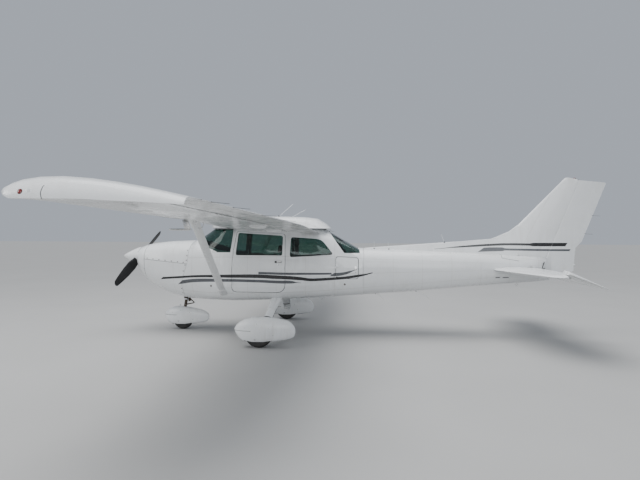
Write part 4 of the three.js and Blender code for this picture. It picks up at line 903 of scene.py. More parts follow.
def spread(master, places):
    copies = []
    for spot, direction in places:
        copy = copy_mesh(master.data, master.name + "_copy")
        copy.matrix_world = Matrix.Translation(spot) @ face_along(direction)
        copies.append(copy)
    bpy.data.objects.remove(master)
    return join(copies)


def land(node, start, direction):
    hit, spot, normal, face = skins[node].ray_cast(Vector(start), Vector(direction).normalized())
    if not hit:
        raise ValueError(f"nothing of {node} lies {tuple(direction)} of {tuple(start)}")
    return spot, normal


print("rods, joins, copies and ray casts ready")

# %% [markdown]
# The windows sit in black rubber. Each pane's outer side is one smooth patch, so a single face picks the
# whole patch, its border loop becomes a curve, and the curve's thickness is the rubber bead. The bead
# could be drawn point by point, but a border taken from the pane itself always fits it.


# %% Window rubber
def rubber_bead(node, outward, thickness, body):
    pane = copy_solid(node, node + "_bead")
    outward = Vector(outward)
    seed = max(pane.data.polygons, key=lambda face: face.area * max(face.normal.dot(outward), 0) ** 3).index
    pick(pane, lambda face: face.index == seed)
    bpy.ops.mesh.faces_select_linked_flat(sharpness=math.radians(40))
    bpy.ops.mesh.region_to_loop()
    bpy.ops.mesh.select_all(action="INVERT")
    bpy.ops.mesh.delete(type="EDGE")
    bpy.ops.mesh.select_all(action="SELECT")
    bpy.ops.mesh.remove_doubles(threshold=0.002)
    bpy.ops.object.mode_set(mode="OBJECT")
    bpy.ops.object.convert(target="CURVE")
    bead = bpy.context.object
    bead.data.bevel_depth = thickness / 2
    bead.data.bevel_resolution = 2
    bpy.ops.object.convert(target="MESH")
    return finish_piece(bpy.context.object, node + "_rubber", "black_rubber_and_shade", body)


for side, word in SIDES:
    rubber_bead("door_glass_" + word, (0, side, 0.2), 0.007, "door_" + word)
    rubber_bead("side_window_" + word, (0, side, 0.2), 0.007, "airframe")
rubber_bead("windshield", (-1, 0, 0.6), 0.008, "airframe")
rubber_bead("rear_window", (1, 0, 1), 0.008, "airframe")
print("six rubber beads")

# %% [markdown]
# A formed metal strip holds the foot of the windshield and bridges from the glass to the deck in front of
# it. It is a flat grid wrapped round the nose: each of its points is dropped towards the middle of the
# fuselage until it meets the outer one of the two skins. Points typed by hand would sink into the glass or
# float off it.

# %% Windshield strip
STRIP_TURN, GLASS_TURN = math.radians(73.5), 1.23
STRIP_WIDTH, STRIP_SLOPE, STRIP_AXIS = 0.050, 0.40, 1.20
FOOT_STATION, FOOT_SWEEP, FOOT_CURL = 0.122, 0.2229, 0.1832

bpy.ops.object.select_all(action="DESELECT")
bpy.ops.mesh.primitive_grid_add(x_subdivisions=72, y_subdivisions=5, size=1)
strip = bpy.context.object
for vertex in strip.data.vertices:
    turn = vertex.co.x * 2 * STRIP_TURN
    share = turn / GLASS_TURN
    lean = (2 * FOOT_SWEEP * share + 6 * FOOT_CURL * share ** 5) / GLASS_TURN
    off = vertex.co.y * STRIP_WIDTH / math.hypot(lean, STRIP_SLOPE)
    station = FOOT_STATION + FOOT_SWEEP * share ** 2 + FOOT_CURL * share ** 6 - off * STRIP_SLOPE
    turn += off * lean / STRIP_SLOPE
    outward = Vector((0, math.sin(turn), math.cos(turn)))
    start = at(station, 0, STRIP_AXIS) + outward
    found = [skins[node].ray_cast(start, -outward) for node in ("cabin_shell", "windshield")]
    spots = [spot for hit, spot, normal, face in found if hit]
    vertex.co = min(spots, key=lambda spot: (spot - start).length) + outward * 0.002
pick(strip, lambda vertex: True, "VERT")
bpy.ops.mesh.vertices_smooth(factor=0.5, repeat=2)
bpy.ops.object.mode_set(mode="OBJECT")
apply_modifier(strip, "SOLIDIFY", thickness=0.002, offset=0.0)
finish_piece(strip, "windshield_strip", "smooth_paint", angle=60.0)
print("strip points:", len(strip.data.vertices))

# %% [markdown]
# The seats are stuffed. Each pad starts as a block a little smaller than the real pad, is remeshed into
# small even faces, and is blown up by a cloth simulation until its sides round out. A bevelled block would
# be quicker, but its faces stay flat, and flat faces look like boards. The sewn seams come afterwards, as
# shallow valleys pressed into the swollen surface. One pad of each kind is made and copied.


# %% Blowing up a pad
PRESSURE, STEPS = 4.0, 20


def stuff(pad, most, voxel):
    apply_modifier(pad, "REMESH", mode="VOXEL", voxel_size=voxel)
    before = [vertex.co.copy() for vertex in pad.data.vertices]
    cloth = pad.modifiers.new("cloth", "CLOTH")
    cloth.settings.use_pressure = True
    cloth.settings.uniform_pressure_force = PRESSURE
    cloth.settings.effector_weights.gravity = 0.0
    cloth.point_cache.frame_start, cloth.point_cache.frame_end = 1, STEPS
    for step in range(1, STEPS + 1):
        bpy.context.scene.frame_set(step)
    bpy.ops.object.modifier_apply(modifier=cloth.name)
    for vertex, start in zip(pad.data.vertices, before):
        move = vertex.co - start
        if move.length > most:
            vertex.co = start + move * (most / move.length)
    bpy.context.scene.frame_set(1)


def sew(pad, seams, depth=0.007, width=0.016):
    for vertex in pad.data.vertices:
        for axis, value, low, high in seams:
            across = abs(vertex.co[axis] - value)
            other = vertex.co[1 - axis]
            if across < width and low <= other <= high and vertex.co.z > 0:
                vertex.co.z -= depth * (0.5 + 0.5 * math.cos(math.pi * across / width))


def make_pad(size, seams, round_off, most=0.022, voxel=0.006):
    small = [size[0] - 0.016, size[1] - 0.016, size[2] - 0.022]
    pad = block((0, 0, 0), small, round_off, 3)
    choose(pad)
    bpy.ops.object.transform_apply(location=True, rotation=True, scale=True)
    stuff(pad, most, voxel)
    fit = [size[axis] / (max(v.co[axis] for v in pad.data.vertices) * 2) for axis in range(3)]
    for vertex in pad.data.vertices:
        vertex.co = Vector(vertex.co[axis] * min(fit[axis], 1.0) for axis in range(3))
    sew(pad, seams)
    apply_modifier(pad, "SUBSURF", levels=1, render_levels=1)
    return pad


print("a pad takes", STEPS, "steps of cloth")

# %% [markdown]
# Both front seats have the same cushion, back and headrest, and the bench has one long cushion and back. A
# seam is given as the axis it crosses, its place there, and where it starts and ends.


# %% Seat pads
SEAT_SIDE = 0.238


def place_pad(pad, name, spot, lean, node):
    copy = copy_mesh(pad.data, name)
    copy.matrix_world = Matrix.Translation(spot) @ leaning(lean)
    piece = finish_piece(copy, name, "seat_fabric")
    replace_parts(piece, node)


front_seams = ((1, -0.105, -0.16, 0.18), (1, 0.105, -0.16, 0.18), (0, -0.02, -0.105, 0.105))
front_cushion = make_pad((0.43, 0.40, 0.095), front_seams, 0.03)
back_seams = (
    (1, -0.11, -0.19, 0.20), (1, 0.11, -0.19, 0.20), (0, -0.07, -0.11, 0.11), (0, 0.07, -0.11, 0.11),
)
front_back = make_pad((0.44, 0.40, 0.085), back_seams, 0.028)
headrest = make_pad((0.15, 0.26, 0.07), (), 0.026)
bench_seams = tuple((1, y, -0.16, 0.18) for y in (-0.22, 0.0, 0.22))
bench_cushion = make_pad((0.43, 0.83, 0.095), bench_seams, 0.03, voxel=0.007)
bench_back = make_pad((0.50, 0.83, 0.085), bench_seams, 0.028, voxel=0.007)
for side, word in SIDES:
    node = "front_seat_" + word
    y = side * SEAT_SIDE
    place_pad(front_cushion, f"seat_cushion_{word}", at(1.298, y, 0.888), 4.0, node)
    place_pad(front_back, f"seat_back_{word}", at(1.553, y, 1.122), -80.0, node)
    place_pad(headrest, f"seat_headrest_{word}", at(1.610, y, 1.440), -80.0, node)
place_pad(bench_cushion, "bench_cushion", at(2.153, 0, 0.898), 4.0, "rear_bench")
place_pad(bench_back, "bench_back", at(2.424, 0, 1.165), -78.0, "rear_bench")
for pad in (front_cushion, front_back, headrest, bench_cushion, bench_back):
    bpy.data.objects.remove(pad)
print("eight stuffed pads")

# %% [markdown]
# Under each front seat is a tube frame on two floor rails, and a pan carries the cushion. The headrest
# stands on two thin posts. Webbing belts lie over the seats: a belt is a flat ribbon, an edge extruded
# from point to point and given thickness, because a cloth remesh would eat anything so thin.


# %% Seat frames and belts
LAP_BELT = (
    (1.47, 0.215, 0.80), (1.43, 0.212, 0.90), (1.40, 0.17, 0.945), (1.36, 0.10, 0.950), (1.33, 0.02, 0.948),
)
CHEST_BELT = (
    (1.645, 0.10, 1.50), (1.560, 0.10, 1.395), (1.530, 0.09, 1.34), (1.490, 0.07, 1.15),
    (1.450, 0.04, 1.00), (1.38, 0.01, 0.955),
)


def ribbon(path, side, thickness=0.002):
    bpy.ops.object.select_all(action="DESELECT")
    bpy.ops.mesh.primitive_plane_add(size=1)
    strap = bpy.context.object
    pick(strap, lambda vertex: vertex.index > 1, "VERT")
    bpy.ops.mesh.delete(type="VERT")
    bpy.ops.object.mode_set(mode="OBJECT")
    for vertex, sign in zip(strap.data.vertices, (-0.5, 0.5)):
        vertex.co = Vector(path[0]) + sign * Vector(side)
    bpy.ops.object.mode_set(mode="EDIT")
    bpy.ops.mesh.select_all(action="SELECT")
    for before, after in zip(path, path[1:]):
        bpy.ops.mesh.extrude_region_move(TRANSFORM_OT_translate={"value": Vector(after) - Vector(before)})
    bpy.ops.object.mode_set(mode="OBJECT")
    apply_modifier(strap, "SOLIDIFY", thickness=thickness, offset=0.0)
    return strap


for side, word in SIDES:
    y = side * SEAT_SIDE
    tubes = []
    for edge in (-0.13, 0.13):
        legs = ((1.13, 0.672), (1.16, 0.84), (1.44, 0.84), (1.47, 0.672))
        tubes.append(rod([at(x, y + edge, z) for x, z in legs], 0.022, bent=False))
        tubes.append(block(at(1.30, y + edge, 0.667), (0.52, 0.034, 0.010), 0.003))
    for x in (1.17, 1.43):
        tubes.append(rod([at(x, y - 0.13, 0.80), at(x, y + 0.13, 0.80)], 0.018, bent=False))
    finish_piece(join(tubes), f"seat_frame_{word}", "dark_steel")
    pan = block(at(1.30, y, 0.838), (0.36, 0.35, 0.012), 0.004, lean=4)
    finish_piece(pan, f"seat_pan_{word}", "panel_black")
    posts = [rod([at(1.585, y + e, 1.32), at(1.606, y + e, 1.44)], 0.010, bent=False) for e in (-0.06, 0.06)]
    finish_piece(join(posts), f"headrest_posts_{word}", "bright_steel")
    straps = []
    for e in (-1, 1):
        lap = [at(x, y + e * reach, z) for x, reach, z in LAP_BELT]
        straps.append(ribbon(lap, (0.035, 0, 0.02)))
    straps.append(ribbon([at(x, y + reach, z) for x, reach, z in CHEST_BELT], (0, 0.042, 0)))
    finish_piece(join(straps), f"belt_{word}", "belt_webbing")
    buckle = block(at(1.345, y, 0.958), (0.06, 0.07, 0.014), 0.004, lean=4)
    finish_piece(buckle, f"buckle_{word}", "bright_steel")
bench_box = [block(at(2.14, y, 0.793), (0.30, 0.30, 0.112), 0.012) for y in (-0.22, 0.22)]
finish_piece(join(bench_box), "bench_base", "panel_black")
print("seat frames, headrest posts and belts")

# %% [markdown]
# The blades are flat-ended, thinning and twisting, and their solids already have that shape. The spinner
# is turned anew with a finer outline. Its two openings could be drawn by hand, but here a thickened copy
# of the blades cuts them, because such a cut always fits. A ring of screws holds the cone to its
# backplate.

# %% Spinner
SPINNER_TIP, CRANK = -1.286, 1.285
CONE = ((0.003, 0.0), (0.011, 0.007), (0.0195, 0.018), (0.028, 0.030), (0.041, 0.048), (0.064, 0.090),
        (0.0815, 0.125), (0.098, 0.160), (0.116, 0.200), (0.133, 0.240), (0.1455, 0.272), (0.155, 0.300),
        (0.1612, 0.322), (0.166, 0.342))
WALL = 0.004
BACKPLATE = ((0.163, 0.0), (0.163, 0.004), (0.150, 0.006), (0.090, 0.006))
SCREW_RING, SCREWS = 0.1645, 16
BLADE_LINE = Vector((0, 0.888, 0.46))

inside = tuple((radius - WALL, height) for radius, height in reversed(CONE[4:]))
cone = turned(at(SPINNER_TIP, 0, CRANK), (1, 0, 0), CONE + inside, 72)
cutter = copy_solid("propeller", "blade_cutter")
apply_modifier(cutter, "DISPLACE", strength=0.005)
apply_modifier(cone, "BOOLEAN", operation="DIFFERENCE", object=cutter)
bpy.data.objects.remove(cutter)
cone = finish_piece(cone, "spinner_cone", "smooth_paint", "propeller")
plate = turned(at(-0.947, 0, CRANK), (-1, 0, 0), BACKPLATE, 72)
finish_piece(plate, "spinner_backplate", "bright_steel", "propeller")
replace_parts(cone, "spinner")
screw = fitting(((0.0055, -0.002), (0.0055, 0.0006), (0.004, 0.0014), (0.001, 0.0014)), 12)
ring = []
for number in range(SCREWS):
    angle = 2 * math.pi * (number + 0.5) / SCREWS
    out = Vector((-0.28, math.cos(angle), math.sin(angle)))
    if abs(out.dot(BLADE_LINE)) < 0.93:
        ring.append((at(-0.956, SCREW_RING * out.y, CRANK + SCREW_RING * out.z), out))
finish_piece(spread(screw, ring), "spinner_screws", "bright_steel", "propeller")
print("spinner with", len(ring), "screws")

# %% [markdown]
# The cowl comes off without tools: it is held by quarter-turn studs along its rear edge and along the
# split between its halves. Each stud is a small dished disc, and a ray from outside finds its place on the
# skin. They could be painted on as dots, but a real disc catches the light.

# %% Cowl studs
STUD = ((0.0085, -0.002), (0.0085, 0.0012), (0.0070, 0.0016), (0.0055, 0.0006), (0.0008, 0.0006))
EDGE_GAP, SPLIT_GAP = 0.022, 0.020
SPLIT_HEIGHT, SPLIT_SLOPE = 1.18648, 0.09495
EDGE_LINE = ((0.112, 1.45), (0.095, 1.215), (-0.015, 0.88), (-0.015, 0.66))


def edge_station(height):
    for (x0, z0), (x1, z1) in zip(EDGE_LINE, EDGE_LINE[1:]):
        if height >= z1:
            return x0 + (x1 - x0) * (height - z0) / (z1 - z0)
    return EDGE_LINE[-1][0]


stud = fitting(STUD, 16)
places = []
for side in (-1, 1):
    for height in (1.40, 1.32, 1.24, 1.16, 1.06, 0.96, 0.86, 0.76, 0.68):
        node = "cowl_upper" if height > 1.2 else "cowl_lower"
        start = at(edge_station(height) - EDGE_GAP, side * 2, height)
        places.append(land(node, start, (0, -side, 0)))
    for station in (-0.63, -0.52, -0.41, -0.30, -0.19, -0.08, 0.02):
        height = SPLIT_HEIGHT - SPLIT_SLOPE * station + SPLIT_GAP
        places.append(land("cowl_upper", at(station, side * 2, height), (0, -side, 0)))
finish_piece(spread(stud, places), "cowl_studs", "dark_steel")
print("studs:", len(places))

# %% [markdown]
# A patch is a thin plate that follows a skin. It could be cut out of the skin, but then the skin would
# need a hole of the same shape. Instead a small grid with round corners is dropped onto the skin point by
# point and given thickness. The oil door is the first one.


# %% Patches and the oil door
def patch(node, middle, direction, across, size, name, finish, lift=0.0012, edge=0.012, body="airframe"):
    bpy.ops.object.select_all(action="DESELECT")
    bpy.ops.mesh.primitive_grid_add(x_subdivisions=10, y_subdivisions=10, size=1)
    sheet = bpy.context.object
    sheet.scale = (size[0], size[1], 1)
    bpy.ops.object.transform_apply(location=True, rotation=True, scale=True)
    pick(sheet, lambda v: abs(v.co.x) > size[0] * 0.49 and abs(v.co.y) > size[1] * 0.49, "VERT")
    bpy.ops.mesh.bevel(offset=edge, segments=3, affect="VERTICES")
    bpy.ops.object.mode_set(mode="OBJECT")
    out = -Vector(direction).normalized()
    along = (Vector(across) - Vector(across).dot(out) * out).normalized()
    frame_of = Matrix((along, out.cross(along), out)).transposed()
    for vertex in sheet.data.vertices:
        start = Vector(middle) + frame_of @ vertex.co
        spot, normal = land(node, start + out * 0.5, -out)
        vertex.co = spot + normal * lift * 0.5
    apply_modifier(sheet, "SOLIDIFY", thickness=lift, offset=0.0)
    return finish_piece(sheet, name, finish, body)


patch("cowl_upper", at(-0.20, 0.30, 1.45), (0, -0.62, -0.78), (1, 0, 0), (0.19, 0.15),
      "oil_door", "smooth_paint", 0.002)
hinge_spots = [land("cowl_upper", at(x, 0.262, 2.0), (0, 0, -1))[0] for x in (-0.29, -0.11)]
finish_piece(rod(hinge_spots, 0.006, bent=False), "oil_door_hinge", "bright_steel")
print("oil door and its hinge")

# %% [markdown]
# Two openings beside the spinner let air over the cylinders, and anyone looking in sees fins, a crankcase
# and the starter ring. The engine is four finned cylinders, two each side, on a split crankcase, with
# rocker covers at the ends and push-rod tubes below. Fins could be separate discs, but one profile that
# goes in and out thirteen times turns a whole cylinder in one go.

# %% Engine
CYLINDER_HEIGHT, STAGGER = 1.245, 0.03
SHAFT_HOUSING = ((0.075, 0.0), (0.075, 0.02), (0.055, 0.06), (0.050, 0.15), (0.048, 0.17))
STARTER_RING = (
    (0.050, 0.0), (0.050, 0.034), (0.168, 0.036), (0.172, 0.040), (0.172, 0.052), (0.150, 0.056),
    (0.050, 0.056), (0.050, 0.070),
)

parts = [
    block(at(-0.42, 0, CYLINDER_HEIGHT), (0.50, 0.17, 0.20), 0.03, 3),
    turned(at(-0.68, 0, CRANK), (-1, 0, 0), SHAFT_HOUSING, 32),
    block(at(-0.40, 0, 1.10), (0.34, 0.22, 0.10), 0.025, 3),
    block(at(-0.155, 0, 1.26), (0.06, 0.20, 0.22), 0.02, 2),
]
fins = [(0.066, 0.0)]
for number in range(13):
    start = 0.018 + number * 0.0125
    reach = 0.088 if number > 5 else 0.078
    fins += [(0.064, start), (reach, start + 0.003), (reach, start + 0.005), (0.064, start + 0.008)]
fins += [(0.070, 0.185), (0.070, 0.205), (0.050, 0.225), (0.045, 0.245)]
banks = [(side, x + STAGGER * side) for side in (-1, 1) for x in (-0.56, -0.33)]
barrels = [(at(x, side * 0.085, CYLINDER_HEIGHT), (0, side, 0)) for side, x in banks]
parts.append(spread(fitting(fins, 28), barrels))
for side, x in banks:
    parts.append(block(at(x, side * 0.318, CYLINDER_HEIGHT), (0.12, 0.035, 0.085), 0.012, 3))
    for shift in (-0.022, 0.022):
        tube = [at(x + shift, side * 0.08, 1.165), at(x + shift, side * 0.31, 1.215)]
        parts.append(rod(tube, 0.018, bent=False))
motor = finish_piece(join(parts), "engine_block", "engine_iron")
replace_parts(motor, "engine")
gear = turned(at(-0.933, 0, CRANK), (1, 0, 0), STARTER_RING, 96)
finish_piece(gear, "starter_ring", "bright_steel", "propeller")
print("engine with", len(banks), "cylinders")

# %% [markdown]
# Welded tubes carry the engine from the firewall, black rubber baffles close the gaps beside the front
# cylinders, and each opening has a rolled lip. The lip is a closed rod through points found by rays. A
# tube could be a cylinder turned by hand, but a rod through named points needs no angles.

# %% Engine mount, baffles and lips
mount = []
for y in (-0.23, 0.23):
    for z in (1.07, 1.33):
        mount.append(rod([at(-0.16, y * 0.4, z), at(-0.09, y * 0.8, z), at(-0.022, y, z)], 0.022, bent=False))
    mount.append(rod([at(-0.10, y * 0.7, 1.09), at(-0.10, y * 0.7, 1.31)], 0.018, bent=False))
finish_piece(join(mount), "engine_mount", "dark_steel")
baffles = []
for side in (-1, 1):
    baffles.append(block(at(-0.655, side * 0.235, CYLINDER_HEIGHT), (0.004, 0.21, 0.13), 0.0015, 1))
finish_piece(join(baffles), "engine_baffles", "black_rubber_and_shade")
lips = []
for side in (-1, 1):
    loop = []
    for step in range(20):
        angle = 2 * math.pi * step / 20
        y = side * (0.235 + 0.121 * math.cos(angle))
        z = 1.300 + 0.06426 * math.sin(angle)
        loop.append(land("nose_cap", at(-2.0, y, z), (1, 0, 0))[0])
    lips.append(rod(loop, 0.010, closed=True))
finish_piece(join(lips), "inlet_lips", "smooth_paint")
print("mount tubes:", len(mount))

# %% [markdown]
# The wheels are turned from one profile each. A tyre has round shoulders and four rain grooves, and a rim
# has a dished face with a ring of bolts. A wheel could also be built of rings and discs, but it has one
# axis, so one profile makes it whole. The pants hide most of them, but not from below.

# %% Wheels
def tyre_profile(r, half, rim):
    wall = [(rim, -half * 0.70), (rim + 0.006, -half * 0.84), (rim + (r - rim) * 0.30, -half * 0.97),
            (rim + (r - rim) * 0.50, -half * 0.99), (rim + (r - rim) * 0.72, -half * 0.95),
            (r - 0.016, -half * 0.82), (r - 0.006, -half * 0.64), (r - 0.0015, -half * 0.46)]
    tread = []
    for groove in (-0.33, -0.11, 0.11, 0.33):
        for offset, deep in ((-0.03, 0.0), (-0.022, 0.004), (0.022, 0.004), (0.03, 0.0)):
            tread.append((r - 0.0005 - deep, half * (groove + offset)))
    far = [(radius, -along) for radius, along in reversed(wall)]
    return wall + tread + far + [(rim * 0.98, half * 0.55)]


def rim_profile(half, rim):
    face = [(0.02, -half * 0.5), (0.034, -half * 0.5), (0.034, -half * 0.40), (rim * 0.74, -half * 0.34),
            (rim * 0.86, -half * 0.40), (rim * 0.92, -half * 0.68), (rim, -half * 0.72)]
    return face + [(radius, -along) for radius, along in reversed(face)]


bolt = fitting(((0.006, -0.003), (0.006, 0.005), (0.0045, 0.007), (0.001, 0.007)), 6)
for word, station, side, r, width, rim, body in (
    ("left", 1.48, -1.265, 0.210, 0.156, 0.082, "wheel_left"),
    ("right", 1.48, 1.265, 0.210, 0.156, 0.082, "wheel_right"),
    ("nose", -0.172, 0.0, 0.172, 0.124, 0.066, "nose_wheel"),
):
    hub_at = at(station, side, r)
    tyre = turned(hub_at, (0, 1, 0), tyre_profile(r, width / 2, rim + 0.0004), 64)
    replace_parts(finish_piece(tyre, "tyre_" + word + "_tread", "tyre_rubber", body), "tyre_" + word)
    wheel = turned(hub_at, (0, 1, 0), rim_profile(width / 2, rim), 48)
    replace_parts(finish_piece(wheel, "rim_" + word + "_dish", "wheel_metal", body), "rim_" + word)
    ring = []
    for face in (-1, 1):
        for step in range(6):
            angle = math.pi * step / 3
            across, up = math.cos(angle) * rim * 0.55, math.sin(angle) * rim * 0.55
            ring.append((hub_at + Vector((across, face * width * 0.185, up)), (0, face, 0)))
    bolts = spread(copy_mesh(bolt.data, "bolt"), ring)
    finish_piece(bolts, "rim_bolts_" + word, "bright_steel", body)
bpy.data.objects.remove(bolt)
print("three wheels, each with 12 bolts")

# %% [markdown]
# Where a strut or a leg meets the body it wears a cuff, a thin shell a few millimetres larger than the bar
# inside it. A cuff could be lofted anew, but then it would have to be fitted. Made from the bar itself it
# always fits: a copy is cut by one plane or two, then fattened along its normals.


# %% Cuffs, rings and the gear legs
def cuff(node, name, cuts, grow, finish="smooth_paint", body="airframe", flare=None):
    piece = copy_solid(node, name)
    choose(piece)
    bpy.ops.object.mode_set(mode="EDIT")
    for spot, direction in cuts:
        bpy.ops.mesh.select_all(action="SELECT")
        bpy.ops.mesh.bisect(plane_co=spot, plane_no=direction, clear_outer=True, use_fill=True)
    bpy.ops.mesh.select_all(action="SELECT")
    bpy.ops.transform.shrink_fatten(value=grow)
    bpy.ops.object.mode_set(mode="OBJECT")
    if flare:
        centre, reach, share = flare
        for vertex in piece.data.vertices:
            near = max(0.0, 1 - (vertex.co - Vector(centre)).length / reach)
            vertex.co.x += (vertex.co.x - centre[0]) * share * near * near
    return finish_piece(piece, name, finish, body)


for side, word in SIDES:
    foot, head = at(0.70, side * 0.548, 0.715), at(0.965, side * 2.610, 1.822)
    along = (head - foot).normalized()
    cuff("strut_" + word, "strut_foot_" + word, ((foot + along * 0.13, along),), 0.006)
    cuff("strut_" + word, "strut_head_" + word, ((head - along * 0.19, -along),), 0.006)
    middle, reach = foot + along * 0.10 + Vector((-0.01, 0, 0)), Vector((0, 0, side * 0.04))
    finish_piece(rod([middle + reach, middle - reach], 0.012), "strut_bolt_" + word, "bright_steel")
    top, ankle = at(1.584, side * 0.330, 0.655), at(1.494, side * 1.148, 0.220)
    down = (ankle - top).normalized()
    cuff("gear_leg_" + word, "leg_fairing_" + word, ((top + down * 0.40, down),), 0.008,
         flare=(at(1.584, side * 0.50, 0.60), 0.28, 0.55))
    ring_cuts = ((top + down * 0.625, down), (top + down * 0.600, -down))
    cuff("gear_leg_" + word, "leg_ring_" + word, ring_cuts, 0.004, "black_rubber_and_shade")
    cuff("gear_leg_" + word, "ankle_fairing_" + word, ((top + down * 0.80, -down),), 0.007)
    reaches = (0.30, 0.45, 0.60, 0.75, 0.84)
    pipe = [top + down * reach + Vector((0.088 - 0.018 * reach, 0, 0)) for reach in reaches]
    finish_piece(rod(pipe, 0.007), "brake_pipe_" + word, "pipe_black")
print("strut cuffs, leg fairings, rings and brake pipes")

# %% [markdown]
# The nose leg shows a sliding piston under its cylinder, a small damper across it, and a scissor link
# behind it whose joints turn on bolts. All of them follow the leg's rake, so one function gives the place
# of each from its height above the ground.

# %% Nose leg
RAKE = math.tan(math.radians(8))
AXLE_STATION, AXLE_HEIGHT = -0.172, 0.172
DAMPER = ((0.014, 0.0), (0.016, 0.003), (0.016, 0.085), (0.013, 0.090), (0.007, 0.092), (0.007, 0.140))
CLIP = ((0.402, -0.02, -0.10), (0.422, -0.02, -0.095), (0.422, 0.02, -0.095), (0.402, 0.02, -0.10))


def steer(height, side=0.0, aft=0.0):
    return at(AXLE_STATION + RAKE * (height - AXLE_HEIGHT) + aft, side, height)


along_leg = steer(1.0) - steer(0.0)
piston = turned(steer(0.405), along_leg, ((0.0262, 0.0), (0.0262, 0.112)), 32)
finish_piece(piston, "nose_piston", "dark_steel", "nose_gear")
gland = turned(steer(0.520), along_leg, ((0.0345, 0.0), (0.037, 0.003), (0.037, 0.020), (0.0345, 0.024)), 32)
finish_piece(gland, "nose_gland", "wheel_metal")
damper = turned(steer(0.640, -0.075, -0.052), (0, 1, 0), DAMPER, 20)
finish_piece(damper, "shimmy_damper", "wheel_metal")
bolts = [rod([steer(z, -0.024, aft), steer(z, 0.024, aft)], 0.012, bent=False)
         for z, aft in ((0.432, 0.010), (0.464, 0.158), (0.556, 0.040))]
finish_piece(join(bolts), "scissor_bolts", "bright_steel", "nose_gear")
clip = rod([steer(*spot) for spot in CLIP], 0.010)
finish_piece(clip, "nose_pant_clip", "smooth_paint", "nose_gear")
print("nose leg pieces")

# %% [markdown]
# Wheel pants are glass-fibre shells held by screws, with a small inspection hole low on each side. The
# hole is a shallow black dish laid on the shell, painted shade for the inside of the pant and partly the
# black of the tyre behind: at its size nobody can see whether it goes through.

# %% Pant screws and holes
HOLE = ((0.013, -0.003), (0.013, 0.0004), (0.010, 0.0004), (0.009, -0.0015), (0.001, -0.0015))
MAIN_SCREWS = ((1.72, 0.20), (1.72, 0.33), (1.30, 0.30), (1.66, 0.30), (1.48, 0.36))
NOSE_SCREWS = ((0.04, 0.18), (0.04, 0.29), (-0.33, 0.30), (-0.02, 0.30), (-0.18, 0.34))

screw = fitting(((0.0065, -0.002), (0.0065, 0.0004), (0.0045, 0.0011), (0.001, 0.0009)), 12)
hole = fitting(HOLE, 20)
for node, middle, body, spots, dark in (
    ("pant_left", -1.265, "airframe", MAIN_SCREWS, (1.44, 0.13)),
    ("pant_right", 1.265, "airframe", MAIN_SCREWS, (1.44, 0.13)),
    ("nose_pant", 0.0, "nose_gear", NOSE_SCREWS, (-0.225, 0.15)),
):
    places, holes = [], []
    for face in (-1, 1):
        for station, height in spots:
            places.append(land(node, at(station - 0.012, middle + face, height), (0, -face, 0)))
        holes.append(land(node, at(dark[0], middle + face, dark[1]), (0, -face, 0)))
    screws = spread(copy_mesh(screw.data, "screws"), places)
    finish_piece(screws, node + "_screws", "bright_steel", body)
    # The black dishes are painted shade for the inside of the pant, partly also the black of the tyre behind.
    finish_piece(spread(copy_mesh(hole.data, "holes"), holes), node + "_holes", "black_rubber_and_shade", body)
bpy.data.objects.remove(screw)
bpy.data.objects.remove(hole)
print("pant screws and holes")

# %% [markdown]
# Each door has a flush paddle handle in a finger recess, and a round lock below it. The recess is not cut: a
# flat black patch under the paddle is painted shade for it. The baggage door has a smaller latch and lock
# of its own. Plates and paddles are patches, so they follow the curve of the door.

# %% Handles and locks
LOCK = ((0.012, -0.002), (0.012, 0.0015), (0.010, 0.0028), (0.0035, 0.0028), (0.003, 0.001), (0.0008, 0.001))
PULL = ((1.15, 0.496, 1.02), (1.18, 0.472, 1.03), (1.40, 0.470, 1.03), (1.43, 0.496, 1.02))
for side, word in SIDES:
    node = "door_" + word
    # The black patch under each paddle is painted shade for the finger recess.
    patch(node, at(1.625, side * 0.5, 1.229), (0, -side, 0), (1, 0, 0.03), (0.115, 0.034),
          "handle_recess_shade_" + word, "black_rubber_and_shade", 0.0016, 0.012, node)
    patch(node, at(1.640, side * 0.5, 1.231), (0, -side, 0), (1, 0, 0.03), (0.075, 0.020),
          "handle_" + word, "bright_steel", 0.005, 0.008, node)
    spot, normal = land(node, at(1.622, side * 2, 1.180), (0, -side, 0))
    finish_piece(turned(spot, normal, LOCK, 24), "door_lock_" + word, "bright_steel", node)
    pull = rod([at(x, side * y, z) for x, y, z in PULL], 0.022)
    finish_piece(pull, "door_pull_" + word, "black_rubber_and_shade", node)
    rest = block(at(1.28, side * 0.484, 0.955), (0.46, 0.036, 0.045), 0.010, 3)
    finish_piece(rest, "door_armrest_" + word, "panel_black", node)
    pocket = block(at(1.24, side * 0.498, 0.810), (0.50, 0.016, 0.13), 0.006, 2)
    finish_piece(pocket, "door_pocket_" + word, "cabin_lining", node)
patch("baggage_door", at(2.885, -0.5, 1.13), (0, 1, 0), (0, 0, 1), (0.075, 0.028),
      "baggage_latch", "bright_steel", 0.003, 0.010, "baggage_door")
spot, normal = land("baggage_door", at(2.885, -2, 1.07), (0, 1, 0))
lock = turned(spot, normal, ((0.010, -0.002), (0.010, 0.0015), (0.008, 0.0025), (0.001, 0.0025)), 20)
finish_piece(lock, "baggage_lock", "bright_steel", "baggage_door")
print("handles, locks, armrests")

# %% [markdown]
# The cabin roof carries two whip antennas on rubber feet. More stand on the aircraft's back and hang below
# it: short whips before the strake, a leaning one on it, and bent rods and a blade under the belly. A whip
# is a rod on a turned foot, and a ray finds the foot's place and its tilt. A stretched cone would do for
# the rod, but a curve can also bend.

